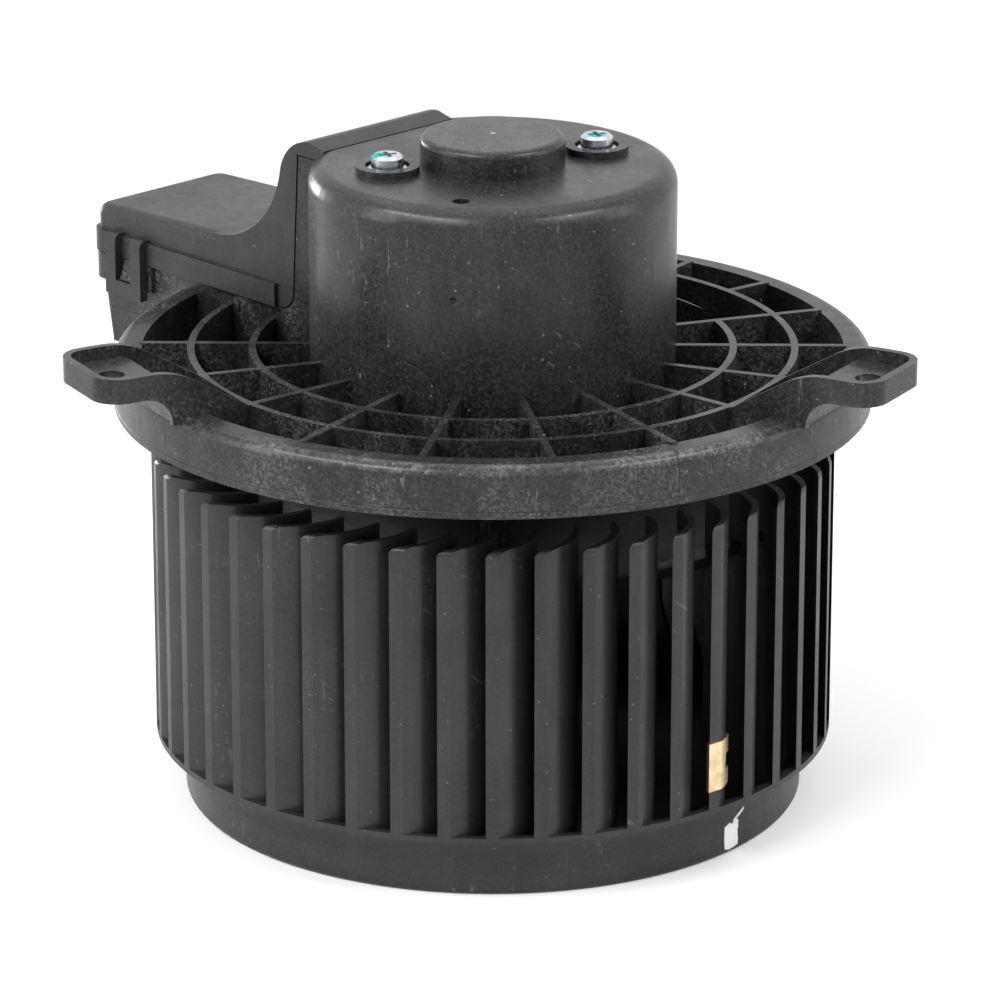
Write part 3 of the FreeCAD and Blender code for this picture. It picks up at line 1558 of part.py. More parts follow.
def make_balance_clip():
    """Bent steel weight pushed over the outer edge of one blade."""
    body = make_body("balance_clip")
    radius = d.wheel_radius
    depth = radius - d.blade_depth
    inner = (depth * cosine(d.blade_sweep), depth * sine(d.blade_sweep))
    tip = d.blade_tip_angle
    front_tip = (radius * cosine(tip), radius * sine(tip))
    back_tip = (radius, as_size(0))
    front_centre = arc_centre(front_tip, inner, d.blade_outer_curve)
    back_end = (inner[0], inner[1] - d.blade_edge)
    back_centre = arc_centre(back_tip, back_end, d.blade_inner_curve)
    wall = d.weight_wall
    front_curve = d.blade_outer_curve
    back_curve = d.blade_inner_curve
    front_angle = d.weight_width / front_curve * 180 / math.pi
    back_angle = d.weight_width / back_curve * 180 / math.pi
    outwards = (front_curve + wall) / front_curve
    inwards = (back_curve - wall) / back_curve
    none = as_size(0)
    one = as_size(1)
    outline = [
        (radius + wall, -wall),
        (*along_arc(front_tip, front_centre, none, outwards), front_curve + wall),
        along_arc(front_tip, front_centre, front_angle, outwards),
        (*along_arc(front_tip, front_centre, front_angle, one), -front_curve),
        front_tip,
        (*back_tip, back_curve),
        along_arc(back_tip, back_centre, back_angle, one),
        (*along_arc(back_tip, back_centre, back_angle, inwards), wall - back_curve),
        along_arc(back_tip, back_centre, none, inwards),
    ]
    turn = d.blade_start + d.weight_blade * 360 / d.blade_count
    plan = make_sketch(body, "weight_plan", "XY_Plane", [outline], wheel_low + d.weight_low, turn)
    pad(body, "weight", plan, d.weight_height)
    half_angle = front_angle / 2
    far_angle = front_angle + half_angle / 2
    reach = outwards * outwards
    notch = [
        along_arc(front_tip, front_centre, half_angle, one),
        along_arc(front_tip, front_centre, half_angle, reach),
        along_arc(front_tip, front_centre, far_angle, reach),
        along_arc(front_tip, front_centre, far_angle, one),
    ]
    notch_low = wheel_low + d.weight_low + (d.weight_height - d.weight_notch) / 2
    notch_plan = make_sketch(body, "notch_plan", "XY_Plane", [notch], notch_low, turn)
    pocket(body, "notch", notch_plan, d.weight_notch, back=True)
    return body


def make_all():
    """Every sub-part of the blower motor, from the carrier outwards."""
    pieces = []
    for make in (
        make_carrier,
        make_cover,
        make_can,
        make_end_plate,
        make_bushes,
        make_dampers,
        make_magnets,
        make_brushes,
        make_leads,
        make_board,
        make_board_screws,
        make_board_parts,
        make_transistors,
        make_heat_sink,
        make_pins,
        make_case_screws,
        make_shaft,
        make_core,
        make_windings,
        make_commutator,
        make_thrust_washers,
        make_wheel,
        make_wheel_clip,
        make_balance_clip,
    ):
        made = make()
        pieces += made if isinstance(made, list) else [made]
    return pieces


def check_model(pieces):
    for item in doc.Objects:
        state = " ".join(item.State)
        if "Invalid" in state or "Error" in state:
            raise RuntimeError("%s did not build: %s" % (item.Name, state))
    for piece in pieces:
        shape = piece.Shape
        if shape.isNull() or not shape.isValid() or not shape.Solids:
            raise RuntimeError("%s has no valid solid" % piece.Label)


subparts = make_all()
doc.recompute()
check_model(subparts)
os.makedirs("parts", exist_ok=True)
for subpart in subparts:
    subpart.Shape.exportStep("parts/%s.step" % subpart.Label)
    size = subpart.Shape.BoundBox
    print(subpart.Label, len(subpart.Shape.Solids), "solid(s), volume", round(subpart.Shape.Volume))
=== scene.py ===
import math

import bmesh
import bpy
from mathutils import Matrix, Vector


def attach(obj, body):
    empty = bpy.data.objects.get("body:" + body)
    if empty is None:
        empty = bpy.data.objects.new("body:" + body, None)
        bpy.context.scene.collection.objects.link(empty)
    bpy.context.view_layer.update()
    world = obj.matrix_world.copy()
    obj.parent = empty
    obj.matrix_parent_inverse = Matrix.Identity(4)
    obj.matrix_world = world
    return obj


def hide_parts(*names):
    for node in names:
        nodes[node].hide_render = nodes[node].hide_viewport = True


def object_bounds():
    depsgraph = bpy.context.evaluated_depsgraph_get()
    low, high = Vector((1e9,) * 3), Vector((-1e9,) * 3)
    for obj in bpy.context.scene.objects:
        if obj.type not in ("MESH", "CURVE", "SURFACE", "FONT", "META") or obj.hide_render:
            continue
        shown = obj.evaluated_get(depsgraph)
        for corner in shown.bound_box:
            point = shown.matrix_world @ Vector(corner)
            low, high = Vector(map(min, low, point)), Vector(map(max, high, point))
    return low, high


print("Loading the frame")
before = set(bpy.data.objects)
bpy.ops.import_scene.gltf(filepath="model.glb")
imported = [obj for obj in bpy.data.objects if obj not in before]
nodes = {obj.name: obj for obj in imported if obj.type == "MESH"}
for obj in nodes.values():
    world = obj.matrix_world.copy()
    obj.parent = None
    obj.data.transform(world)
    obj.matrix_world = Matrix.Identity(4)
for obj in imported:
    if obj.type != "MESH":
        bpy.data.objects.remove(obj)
cadLow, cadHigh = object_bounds()
mm = 0.001


# A socket that can be added, multiplied and so on: each sign adds its Math node
class Wire:
    def __init__(self, tree, socket):
        self.tree = tree
        self.socket = socket

    def maths(self, operation, *values):
        node = self.tree.nodes.new("ShaderNodeMath")
        node.operation = operation
        for place, value in enumerate(values):
            plug(self.tree, node.inputs[place], value)
        return Wire(self.tree, node.outputs[0])

    def __add__(self, other):
        return self.maths("ADD", self, other)

    def __radd__(self, other):
        return self.maths("ADD", other, self)

    def __sub__(self, other):
        return self.maths("SUBTRACT", self, other)

    def __rsub__(self, other):
        return self.maths("SUBTRACT", other, self)

    def __mul__(self, other):
        return self.maths("MULTIPLY", self, other)

    def __pow__(self, other):
        return self.maths("POWER", self, other)

    def __abs__(self):
        return self.maths("ABSOLUTE", self)

    # 0 at low, 1 at high, smooth between; low may be the higher number
    def ramp(self, low, high, unit=1):
        node = self.tree.nodes.new("ShaderNodeMapRange")
        node.interpolation_type = "SMOOTHSTEP"
        plug(self.tree, node.inputs["Value"], self)
        node.inputs["From Min"].default_value = min(low, high) * unit
        node.inputs["From Max"].default_value = max(low, high) * unit
        if low > high:
            node.inputs["To Min"].default_value = 1
            node.inputs["To Max"].default_value = 0
        return Wire(self.tree, node.outputs["Result"])


# Links a wire to a socket, or writes a number, vector or colour on it
def plug(tree, socket, value):
    if isinstance(value, Wire):
        tree.links.new(value.socket, socket)
    elif socket.type == "RGBA":
        socket.default_value = (*value, 1)
    else:
        socket.default_value = value


# A material and the nodes that are made in it
class Paint:
    def __init__(self, name):
        self.material = bpy.data.materials.new(name)
        self.material.use_nodes = True
        self.tree = self.material.node_tree
        self.tree.nodes.clear()
        self.shader = self.tree.nodes.new("ShaderNodeBsdfPrincipled")
        self.output = self.tree.nodes.new("ShaderNodeOutputMaterial")
        self.tree.links.new(self.shader.outputs[0], self.output.inputs[0])

    # Any node: its settings first, then the values or links of its sockets
    def add(self, kind, settings, values, output=0):
        node = self.tree.nodes.new("ShaderNode" + kind)
        for key, value in settings.items():
            setattr(node, key, value)
        for key, value in values.items():
            plug(self.tree, node.inputs[key], value)
        return Wire(self.tree, node.outputs[output])

    def set(self, name, value):
        plug(self.tree, self.shader.inputs[name], value)

    def place(self):
        return self.add("TexCoord", {}, {}, "Object")

    def axes(self, vector):
        node = self.tree.nodes.new("ShaderNodeSeparateXYZ")
        plug(self.tree, node.inputs[0], vector)
        return [Wire(self.tree, item) for item in node.outputs]

    def stretch(self, vector, scale):
        return self.add("VectorMath", {"operation": "MULTIPLY"}, {0: vector, 1: scale})

    # Distance from a point given in millimetres
    def reach(self, vector, point):
        spot = tuple(value * mm for value in point)
        return self.add("VectorMath", {"operation": "DISTANCE"}, {0: vector, 1: spot}, "Value")

    # Cloudy pattern, its grain about size millimetres across
    def cloud(self, vector, size, detail=2.0, roughness=0.5, distortion=0.0):
        values = {
            "Vector": vector,
            "Scale": 1 / (size * mm),
            "Detail": detail,
            "Roughness": roughness,
            "Distortion": distortion,
        }
        return self.add("TexNoise", {}, values)

    def blend(self, factor, first, second):
        return self.add("Mix", {"data_type": "RGBA"}, {0: factor, 6: first, 7: second}, 2)

    # Bump with its distance in millimetres
    def bump(self, height, strength, distance):
        values = {"Height": height, "Strength": strength, "Distance": distance * mm}
        return self.add("Bump", {}, values)


def grey(value):
    return (value, value, value)


print("Mixing the black plastic")
# A pair holds where something fades in; Edge, Wide, Tall and Reach pairs are in millimetres
plasticLook = {
    # cloudy tone from dark to light, in three layers with their shares
    "dark": grey(0.005),
    "light": (0.026, 0.027, 0.028),
    "cloudSize": 26,
    "cloudSpan": (0.36, 0.64),
    "cloudShare": 0.4,
    "patchSize": 9,
    "patchSpan": (0.44, 0.68),
    "patchShare": 0.3,
    "streakSize": 3.2,
    "streakStretch": (1, 1, 0.16),
    "streakSpan": (0.4, 0.66),
    "streakShare": 0.3,
    # pale specks of the grain
    "speckSize": 0.75,
    "speckSpan": (0.42, 0.66),
    "speck": 0.36,
    "speckRough": 0.2,
    "pale": grey(0.07),
    # scratches and dust
    "mark": grey(0.24),
    "scratchSize": 0.9,
    "scratch": 0.3,
    "leanStretch": (1, 1, 0.14),
    "leanSpan": (0.69, 0.73),
    "crossTurn": 0.9,
    "crossStretch": (1, 1, 0.1),
    "crossSpan": (0.68, 0.72),
    "wornSize": 24,
    "wornSpan": (0.5, 0.62),
    "dustSize": 1.1,
    "dustSpan": (0.785, 0.81),
    "dust": 0.7,
    "roughness": 0.3,
    "roughSpread": 0.12,
    "specular": 0.38,
    "grain": 0.07,
    "bumpStrength": 0.5,
    "bumpDistance": 0.1,
}


# Moulded black plastic: cloudy, speckled, a little scratched and dusty
# marks adds what one piece has of its own to its colour, roughness and height
def plastic(name, look, marks=None):
    paint = Paint(name)
    place = paint.place()
    cloud = paint.cloud(place, look["cloudSize"], detail=3, roughness=0.55, distortion=0.3)
    patch = paint.cloud(place, look["patchSize"], detail=4, roughness=0.65, distortion=0.5)
    drawn = paint.stretch(place, look["streakStretch"])
    streak = paint.cloud(drawn, look["streakSize"], detail=3, roughness=0.6)
    speck = paint.cloud(place, look["speckSize"], roughness=0.65)
    tone = cloud.ramp(*look["cloudSpan"]) * look["cloudShare"]
    tone = tone + patch.ramp(*look["patchSpan"]) * look["patchShare"]
    tone = tone + streak.ramp(*look["streakSpan"]) * look["streakShare"]
    colour = paint.blend(tone, look["dark"], look["light"])
    colour = paint.blend(speck.ramp(*look["speckSpan"]) * look["speck"], colour, look["pale"])
    height = speck * look["grain"]
    rough = look["roughness"] + (0.5 - tone) * look["roughSpread"]
    rough = rough + (speck - 0.5) * look["speckRough"]
    # short scratches that lean one way, and some that cross them
    leaning = paint.stretch(place, look["leanStretch"])
    leaning = paint.cloud(leaning, look["scratchSize"], detail=1, distortion=0.6)
    turning = {"rotation_type": "X_AXIS"}
    turned = paint.add("VectorRotate", turning, {"Vector": place, "Angle": look["crossTurn"]})
    crossing = paint.stretch(turned, look["crossStretch"])
    crossing = paint.cloud(crossing, look["scratchSize"], detail=1, distortion=0.4)
    scratch = leaning.ramp(*look["leanSpan"]) + crossing.ramp(*look["crossSpan"])
    scratch = scratch * paint.cloud(place, look["wornSize"]).ramp(*look["wornSpan"])
    colour = paint.blend(scratch * look["scratch"], colour, look["mark"])
    # grains of dust
    dust = paint.cloud(place, look["dustSize"], detail=0.5).ramp(*look["dustSpan"])
    colour = paint.blend(dust * look["dust"], colour, look["mark"])
    if marks:
        colour, rough, height = marks(paint, place, look, colour, rough, height)
    paint.set("Base Color", colour)
    paint.set("Roughness", rough)
    paint.set("Specular IOR Level", look["specular"])
    paint.set("Normal", paint.bump(height, look["bumpStrength"], look["bumpDistance"]))
    return paint.material


carrierLook = dict(
    plasticLook,
    # below this height and this far out lie the rib pockets and the rim
    lowEdge=(1.2, -0.4),
    beyondEdge=(41.0, 48.0),
    # powdery patches, strongest down there
    powder=0.6,
    powderTone=grey(0.12),
    powderSize=16,
    powderSpan=(0.44, 0.6),
    powderGrain=0.8,
    powderGrainSpan=(0.47, 0.6),
    powderLow=0.85,
    powderAll=0.15,
    powderRough=0.18,
    # painted highlight: pale grains along the rounded edge of the rim
    rub=0.6,
    rubTone=grey(0.2),
    rubReach=(75.4, 75.9),
    rubTopEdge=(-4.9, -5.2),
    rubOuterEdge=(83.4, 83.0),
    rubSize=14,
    rubSpan=(0.4, 0.62),
    rubShare=0.7,
    rubLeast=0.3,
    rubGrain=1.3,
    rubGrainSpan=(0.4, 0.66),
    # sandy end of the cap, with a gate mark in its middle
    capReach=(15.5, 14.5),
    capTopEdge=(41.9, 42.3),
    sand=0.4,
    sandSize=0.7,
    sandSpan=(0.4, 0.64),
    sandRise=0.3,
    gate=(0.3, -0.3, 42.7),
    gateReach=(0.75, 0.45),
    gateTone=grey(0.35),
    gateRise=2,
    # parting lines across the rim, in degrees, and the lip along its lower edge
    partingAngles=(70.9, 79.4, 163.5, 190.8, 206.5, 310.5, 319.5),
    partingWide=(0.24, 0.08),
    partingReach=(10, 12),
    rimReach=(79.2, 79.6),
    lipHeight=-14.9,
    lipWide=(0.22, 0.06),
    line=0.75,
    lineTone=grey(0.004),
    lineDepth=2.5,
    # a pit darkened with painted shade, and the faint round of an ejector on the dome's side
    pit=(-22.2, 33.3, 16.9),
    pitReach=(1.0, 0.5),
    pitShare=0.9,
    pitTone=grey(0.003),
    pitDepth=3,
    ejector=(-12.4, 38.0, -5.0),
    ejectorRadius=7.2,
    ejectorWide=(0.35, 0.1),
    ejectorSideEdge=(38.6, 36.8),
    ejectorShare=0.6,
    ejectorTone=grey(0.006),
    ejectorDepth=1.2,
)
coverLook = dict(
    plasticLook,
    dark=grey(0.017),
    light=(0.033, 0.034, 0.035),
    speck=0.22,
    roughness=0.4,
    scratch=0.22,
    streakStretch=(1, 1, 0.6),
    dust=0.3,
)
wheelLook = dict(
    plasticLook,
    dark=grey(0.018),
    light=grey(0.036),
    pale=grey(0.075),
    speckSize=0.6,
    speck=0.16,
    roughness=0.34,
    streakStretch=(1, 1, 0.08),
    scratch=0.24,
    dust=0.4,
    # white balance mark: its middle, and the way that it runs along the ring
    balance=(-68.3, -5.6, -101.6),
    balanceWay=(-0.08, -1.0),
    balanceTone=grey(0.85),
    balanceRough=0.1,
    balanceOuterEdge=(-66, -67),
    waveSize=2.2,
    # its block, with a ragged outline
    blockWide=(2.4, 2.1),
    blockTall=(3.0, 2.7),
    blockDrop=0.5,
    raggedWide=1.2,
    raggedTall=2.2,
    # its thin tail
    tailRise=2.2,
    tailSlope=0.55,
    tailWide=(0.5, 0.3),
    tailStartEdge=(0.4, 0.8),
    tailEndEdge=(4.6, 4.0),
    # the ring below the blades is smoother
    ringEdge=(-95.2, -98.2),
    ringSmooth=0.08,
)


# 1 on a thin upright plane that runs out from the axis at an angle
def partingLine(x, y, angle, look):
    turn = math.radians(angle)
    beside = abs(x * math.sin(turn) - y * math.cos(turn))
    ahead = x * math.cos(turn) + y * math.sin(turn)
    return beside.ramp(*look["partingWide"], mm) * ahead.ramp(*look["partingReach"], mm)


def carrierMarks(paint, place, look, colour, rough, height):
    x, y, z = paint.axes(place)
    radius = (x * x + y * y) ** 0.5
    low = z.ramp(*look["lowEdge"], mm)
    beyond = radius.ramp(*look["beyondEdge"], mm)
    patch = paint.cloud(place, look["powderSize"], detail=3, roughness=0.6, distortion=0.6)
    grain = paint.cloud(place, look["powderGrain"], detail=3, roughness=0.75)
    powder = patch.ramp(*look["powderSpan"]) * grain.ramp(*look["powderGrainSpan"])
    powder = powder * (low * beyond * look["powderLow"] + look["powderAll"])
    colour = paint.blend(powder * look["powder"], colour, look["powderTone"])
    rough = rough + powder * look["powderRough"]

    # painted highlight along the rim's rounded edge, in patchy pale grains
    rub = (radius + z).ramp(*look["rubReach"], mm)
    rub = rub * z.ramp(*look["rubTopEdge"], mm) * radius.ramp(*look["rubOuterEdge"], mm)
    sheenPatches = paint.cloud(place, look["rubSize"], roughness=0.6).ramp(*look["rubSpan"])
    grain = paint.cloud(place, look["rubGrain"], detail=3, roughness=0.75)
    rub = rub * (sheenPatches * look["rubShare"] + look["rubLeast"])
    rub = rub * grain.ramp(*look["rubGrainSpan"])
    colour = paint.blend(rub * look["rub"], colour, look["rubTone"])

    cap = radius.ramp(*look["capReach"], mm) * z.ramp(*look["capTopEdge"], mm)
    sand = paint.cloud(place, look["sandSize"], roughness=0.7).ramp(*look["sandSpan"])
    colour = paint.blend(cap * sand * look["sand"], colour, look["powderTone"])
    gate = paint.reach(place, look["gate"]).ramp(*look["gateReach"], mm)
    colour = paint.blend(gate, colour, look["gateTone"])
    height = height + cap * sand * look["sandRise"] + gate * look["gateRise"]

    line = abs(z - look["lipHeight"] * mm).ramp(*look["lipWide"], mm)
    for angle in look["partingAngles"]:
        line = line + partingLine(x, y, angle, look)
    line = line * radius.ramp(*look["rimReach"], mm) * low
    colour = paint.blend(line.ramp(0, 1) * look["line"], colour, look["lineTone"])
    height = height - line * look["lineDepth"]

    # painted shade darkens the pit
    pit = paint.reach(place, look["pit"]).ramp(*look["pitReach"], mm)
    colour = paint.blend(pit * look["pitShare"], colour, look["pitTone"])
    around = abs(paint.reach(place, look["ejector"]) - look["ejectorRadius"] * mm)
    ejector = around.ramp(*look["ejectorWide"], mm) * y.ramp(*look["ejectorSideEdge"], mm)
    colour = paint.blend(ejector * look["ejectorShare"], colour, look["ejectorTone"])
    height = height - pit * look["pitDepth"] - ejector * look["ejectorDepth"]
    return colour, rough, height


def wheelMarks(paint, place, look, colour, rough, height):
    x, y, z = paint.axes(place)
    ragged = paint.cloud(place, look["waveSize"], detail=3, roughness=0.6) - 0.5
    middleX, middleY, middleZ = look["balance"]
    wayX, wayY = look["balanceWay"]
    along = (x - middleX * mm) * wayX + (y - middleY * mm) * wayY
    rise = z - middleZ * mm
    wide = abs(along) + ragged * (look["raggedWide"] * mm)
    tall = abs(rise + look["blockDrop"] * mm) + ragged * (look["raggedTall"] * mm)
    block = wide.ramp(*look["blockWide"], mm) * tall.ramp(*look["blockTall"], mm)
    tail = abs(rise - look["tailRise"] * mm - along * look["tailSlope"])
    tail = tail.ramp(*look["tailWide"], mm)
    tail = tail * along.ramp(*look["tailStartEdge"], mm) * along.ramp(*look["tailEndEdge"], mm)
    mark = (block + tail).ramp(0, 1) * x.ramp(*look["balanceOuterEdge"], mm)
    colour = paint.blend(mark, colour, look["balanceTone"])
    ring = z.ramp(*look["ringEdge"], mm)
    rough = rough - ring * look["ringSmooth"] + mark * look["balanceRough"]
    return colour, rough, height


print("Mixing the metals and the small parts")
zincLook = {
    "size": 3.0,
    "tarnishSpan": (0.35, 0.7),
    "bright": (0.74, 0.77, 0.82),
    "dull": (0.5, 0.54, 0.6),
    "metallic": 1.0,
    "roughness": 0.2,
    "spread": 0.14,
    "grainSize": 0.35,
    "grainRough": 0.1,
    "bumpStrength": 0.25,
    "bumpDistance": 0.03,
}


# Bright metal: fine grain and slight tarnish
def metal(name, look, marks=None):
    paint = Paint(name)
    place = paint.place()
    tarnish = paint.cloud(place, look["size"], detail=4, roughness=0.6)
    tarnish = tarnish.ramp(*look["tarnishSpan"])
    grain = paint.cloud(place, look["grainSize"])
    colour = paint.blend(tarnish, look["bright"], look["dull"])
    rough = look["roughness"] + tarnish * look["spread"] + (grain - 0.5) * look["grainRough"]
    if marks:
        colour, rough = marks(paint, place, look, colour, rough)
    else:
        paint.set("Metallic", look["metallic"])
    paint.set("Base Color", colour)
    paint.set("Roughness", rough)
    paint.set("Normal", paint.bump(grain, look["bumpStrength"], look["bumpDistance"]))
    return paint.material


screwLook = dict(
    zincLook,
    # dabs of locking paint, in millimetres
    dabs=((11.0, 23.6, 40.6), (-10.4, -21.2, 41.0)),
    dabReach=(2.0, 1.75),
    dabWave=1.2,
    dabRagged=1.6,
    dabRough=0.2,
    dabTone=(0.0, 0.36, 0.31),
)
canLook = dict(zincLook, bright=grey(0.4), dull=grey(0.3), roughness=0.35)
springLook = dict(zincLook, bright=grey(0.42), dull=grey(0.3), roughness=0.3)
shaftLook = dict(zincLook, bright=grey(0.6), dull=grey(0.5), roughness=0.18)
laminationLook = dict(zincLook, bright=grey(0.3), dull=(0.22, 0.2, 0.18), roughness=0.4)
clipLook = dict(zincLook, bright=(0.86, 0.7, 0.45), dull=(0.68, 0.5, 0.28), roughness=0.32)
bronzeLook = dict(zincLook, bright=(0.5, 0.34, 0.18), dull=(0.36, 0.24, 0.12), roughness=0.45)
copperLook = dict(zincLook, bright=(0.72, 0.36, 0.2), dull=(0.5, 0.24, 0.12), roughness=0.3)
brassLook = dict(zincLook, bright=(0.75, 0.6, 0.3), dull=(0.55, 0.42, 0.2), roughness=0.3)
aluminiumLook = dict(zincLook, bright=grey(0.62), dull=grey(0.5), roughness=0.38)


def paintDabs(paint, place, look, colour, rough):
    ragged = (paint.cloud(place, look["dabWave"]) - 0.5) * (look["dabRagged"] * mm)
    first, second = look["dabs"]
    dab = (paint.reach(place, first) + ragged).ramp(*look["dabReach"], mm)
    dab = dab + (paint.reach(place, second) + ragged).ramp(*look["dabReach"], mm)
    paint.set("Metallic", 1 - dab)
    return paint.blend(dab, colour, look["dabTone"]), rough + dab * look["dabRough"]


mottledLook = {
    "span": (0.3, 0.7),
    "roughSpread": 0.12,
    "bumpStrength": 0.2,
    "bumpDistance": 0.05,
}


# Small parts of one colour with a little mottling
def mottled(name, look):
    paint = Paint(name)
    mottle = paint.cloud(paint.place(), look["size"], detail=3, roughness=0.55)
    mottle = mottle.ramp(*look["span"])
    paint.set("Base Color", paint.blend(mottle, look["first"], look["second"]))
    paint.set("Roughness", look["roughness"] + (mottle - 0.5) * look["roughSpread"])
    paint.set("Normal", paint.bump(mottle, look["bumpStrength"], look["bumpDistance"]))
    return paint.material


rubberLook = dict(mottledLook, size=5, first=grey(0.02), second=grey(0.03), roughness=0.75)
ferriteLook = dict(mottledLook, size=2.5, first=grey(0.06), second=grey(0.09), roughness=0.7)
carbonLook = dict(mottledLook, size=2, first=grey(0.03), second=grey(0.05), roughness=0.5)
chipLook = dict(mottledLook, size=2, first=grey(0.02), second=grey(0.03), roughness=0.5)
wireLook = dict(
    mottledLook, size=3, first=(0.3, 0.02, 0.02), second=(0.36, 0.03, 0.03), roughness=0.45
)
boardLook = dict(
    mottledLook, size=11, first=(0.02, 0.11, 0.05), second=(0.03, 0.15, 0.07), roughness=0.35
)
nylonLook = dict(
    mottledLook, size=5, first=(0.7, 0.68, 0.6), second=(0.6, 0.58, 0.5), roughness=0.5
)

finish = {
    "motor_carrier": plastic("carrierPlastic", carrierLook, carrierMarks),
    "electronics_cover": plastic("coverPlastic", coverLook),
    "blower_wheel": plastic("wheelPlastic", wheelLook, wheelMarks),
    "brush_end_plate": plastic("platePlastic", coverLook),
    "motor_can": metal("canSteel", canLook),
    "case_screws": metal("screwZinc", screwLook, paintDabs),
    "screw_washers": metal("washerZinc", zincLook),
    "board_screws": metal("boardScrewZinc", zincLook),
    "magnet_springs": metal("springSteel", springLook),
    "wheel_clip": metal("clipSpringSteel", springLook),
    "balance_clip": metal("yellowSteel", clipLook),
    "motor_shaft": metal("groundSteel", shaftLook),
    "armature_core": metal("laminations", laminationLook),
    "armature_windings": metal("windingCopper", copperLook),
    "commutator": metal("commutatorCopper", copperLook),
    "upper_bush": metal("upperBronze", bronzeLook),
    "lower_bush": metal("lowerBronze", bronzeLook),
    "brush_tubes": metal("tubeBrass", brassLook),
    "connector_pins": metal("pinTin", zincLook),
    "heat_sink": metal("sinkAluminium", aluminiumLook),
    "upper_damper": mottled("upperRubber", rubberLook),
    "lower_damper": mottled("lowerRubber", rubberLook),
    "field_magnets": mottled("ferrite", ferriteLook),
    "choke_coil": mottled("chokeFerrite", ferriteLook),
    "carbon_brushes": mottled("carbon", carbonLook),
    "motor_leads": mottled("wireSleeve", wireLook),
    "control_board": mottled("boardLacquer", boardLook),
    "filter_capacitor": mottled("capacitorSleeve", chipLook),
    "power_transistors": mottled("chipCase", chipLook),
    "thrust_washers": mottled("nylon", nylonLook),
}
for name, material in finish.items():
    mesh = nodes[name].data
    mesh.materials.clear()
    mesh.materials.append(material)

print("Rounding the moulded edges")
edgeLook = {
    # widths of the rounding, in millimetres
    "carrier": 0.35,
    "cover": 0.35,
    "wheel": 0.2,
    "segments": 2,
    # points nearer than this many millimetres become one
    "weld": 0.002,
    # in degrees: faces flatter than the first become one, edges sharper than the second are rounded
    "flat": 0.8,
    "sharp": 35,
    "flatWeight": 50,
}


# A copy of a moulded piece with its sharp edges softly rounded, as they leave the mould
def soften(name, body, width):
    copy = bpy.data.objects.new(name + "_moulded", nodes[name].data.copy())
    bpy.context.scene.collection.objects.link(copy)
    work = bmesh.new()
    work.from_mesh(copy.data)
    bmesh.ops.remove_doubles(work, verts=work.verts, dist=edgeLook["weld"] * mm)
    bmesh.ops.dissolve_limit(
        work,
        angle_limit=math.radians(edgeLook["flat"]),
        verts=work.verts,
        edges=work.edges,
        use_dissolve_boundaries=False,
    )
    work.to_mesh(copy.data)
    work.free()
    copy.data.shade_smooth()
    bevel = copy.modifiers.new("edges", "BEVEL")
    bevel.width = width * mm
    bevel.segments = edgeLook["segments"]
    bevel.limit_method = "ANGLE"
    bevel.angle_limit = math.radians(edgeLook["sharp"])
    bevel.use_clamp_overlap = True
    bevel.miter_outer = "MITER_ARC"
    flats = copy.modifiers.new("flats", "WEIGHTED_NORMAL")
    flats.weight = edgeLook["flatWeight"]
    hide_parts(name)
    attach(copy, body)


soften("motor_carrier", "housing", edgeLook["carrier"])
soften("electronics_cover", "housing", edgeLook["cover"])
soften("blower_wheel", "rotor", edgeLook["wheel"])

print("Laying the floor")
floorLook = {
    # in metres: half its side, its gap below the part, and where it fades out
    "size": 3.0,
    "gap": 0.00005,
    "fade": (0.25, 0.6),
    "tone": 0.92,
    "roughness": 0.9,
    "specular": 0.1,
    # how far the camera sees it lifted to white
    "lift": 0.22,
    # painted shade: dark floor inside the wheel's ring, up to this reach in metres
    "paintedShadeTone": 0.02,
    "paintedShadeReach": (0.0672, 0.0682),
}
half = floorLook["size"]
height = cadLow.z - floorLook["gap"]
corners = [
    (-half, -half, height),
    (half, -half, height),
    (half, half, height),
    (-half, half, height),
]
floorMesh = bpy.data.meshes.new("floor")
floorMesh.from_pydata(corners, [], [(0, 1, 2, 3)])
floor = bpy.data.objects.new("floor", floorMesh)
bpy.context.scene.collection.objects.link(floor)
paper = Paint("floorPaper")
x, y = paper.axes(paper.place())[:2]
distance = (x * x + y * y) ** 0.5
# painted shade: the floor is dark inside the wheel's ring, and only outside it is lifted to white
outside = distance.ramp(*floorLook["paintedShadeReach"])
paperTone = paper.blend(outside, grey(floorLook["paintedShadeTone"]), grey(floorLook["tone"]))
paper.set("Base Color", paperTone)
paper.set("Roughness", floorLook["roughness"])
paper.set("Specular IOR Level", floorLook["specular"])
seenStraight = paper.add("LightPath", {}, {}, "Is Camera Ray")
glow = paper.blend(seenStraight * outside, grey(0), grey(floorLook["lift"]))
paper.set("Emission Color", glow)
paper.set("Emission Strength", 1.0)
surface = Wire(paper.tree, paper.shader.outputs[0])
clear = paper.add("BsdfTransparent", {}, {})
faded = paper.add("MixShader", {}, {0: distance.ramp(*floorLook["fade"]), 1: surface, 2: clear})
paper.tree.links.new(faded.socket, paper.output.inputs[0])
floorMesh.materials.append(paper.material)

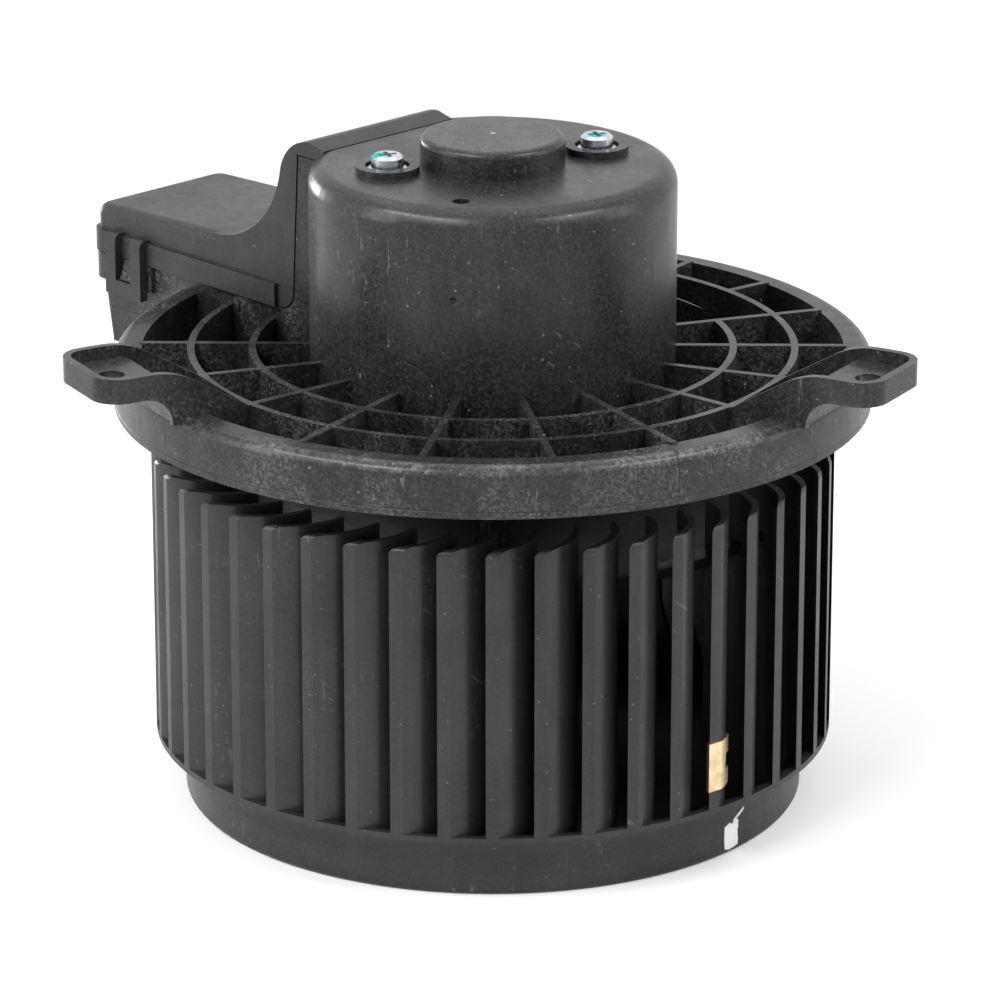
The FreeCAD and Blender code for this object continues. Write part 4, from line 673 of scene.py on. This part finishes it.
print("Setting up the camera")
cameraLook = {
    # in millimetres and degrees
    "place": (-855.68, 829.93, 375.28),
    "heading": -44.2,
    "pitch": -19.25,
    "lens": 206.13,
    "sensor": 36,
}
heading = math.radians(cameraLook["heading"])
pitch = math.radians(cameraLook["pitch"])
up = Vector((0, 0, 1))
away = Vector((math.cos(heading), math.sin(heading), 0))
forward = away * math.cos(pitch) + up * math.sin(pitch)
right = forward.cross(up).normalized()
lens = bpy.data.cameras.new("photoCamera")
lens.lens = cameraLook["lens"]
lens.sensor_width = cameraLook["sensor"]
camera = bpy.data.objects.new("photoCamera", lens)
bpy.context.scene.collection.objects.link(camera)
camera.location = Vector(cameraLook["place"]) * mm
camera.rotation_mode = "QUATERNION"
camera.rotation_quaternion = forward.to_track_quat("-Z", "Y")
bpy.context.scene.camera = camera

print("Setting the light")
lightLook = {
    # how brightly the white surroundings light the part
    "around": 0.4,
    # the point that all lamps face, in metres
    "aim": (0, 0, -0.03),
}
# metres to the right of the part, behind it and above it, then width, height and watts
lampLook = {
    "overheadBox": (0.0, 0.25, 1.1, 1.3, 1.0, 4.0),
    "leftHigh": (-0.62, -0.5, 0.78, 0.9, 0.14, 8.5),
    "rightHigh": (0.72, -0.42, 0.78, 0.6, 0.14, 5.0),
    "leftBox": (-1.0, -0.3, 0.25, 0.4, 0.8, 3.5),
    "rightBox": (1.0, -0.1, 0.25, 0.4, 0.8, 2.0),
    "leftLow": (-0.62, 0.7, 0.0, 0.22, 0.25, 2.2),
}
for name, (across, behind, above, width, tall, watts) in lampLook.items():
    lamp = bpy.data.lights.new(name, "AREA")
    lamp.shape = "RECTANGLE"
    lamp.size = width
    lamp.size_y = tall
    lamp.energy = watts
    holder = bpy.data.objects.new(name, lamp)
    bpy.context.scene.collection.objects.link(holder)
    holder.location = right * across + away * behind + up * above
    holder.rotation_mode = "QUATERNION"
    facing = Vector(lightLook["aim"]) - holder.location
    holder.rotation_quaternion = facing.to_track_quat("-Z", "Y")

# the surroundings look white, also in gloss, and light the part less than that
world = bpy.data.worlds.new("studio")
world.use_nodes = True
bpy.context.scene.world = world
sky = world.node_tree
sky.nodes.clear()
rays = sky.nodes.new("ShaderNodeLightPath")
seen = Wire(sky, rays.outputs["Is Camera Ray"]) + Wire(sky, rays.outputs["Is Transmission Ray"])
seen = (seen + Wire(sky, rays.outputs["Is Glossy Ray"])).ramp(0, 1)
background = sky.nodes.new("ShaderNodeBackground")
background.inputs[0].default_value = (1, 1, 1, 1)
around = lightLook["around"]
plug(sky, background.inputs[1], seen * (1 - around) + around)
ending = sky.nodes.new("ShaderNodeOutputWorld")
sky.links.new(background.outputs[0], ending.inputs[0])
bpy.context.scene.view_settings.view_transform = "Standard"
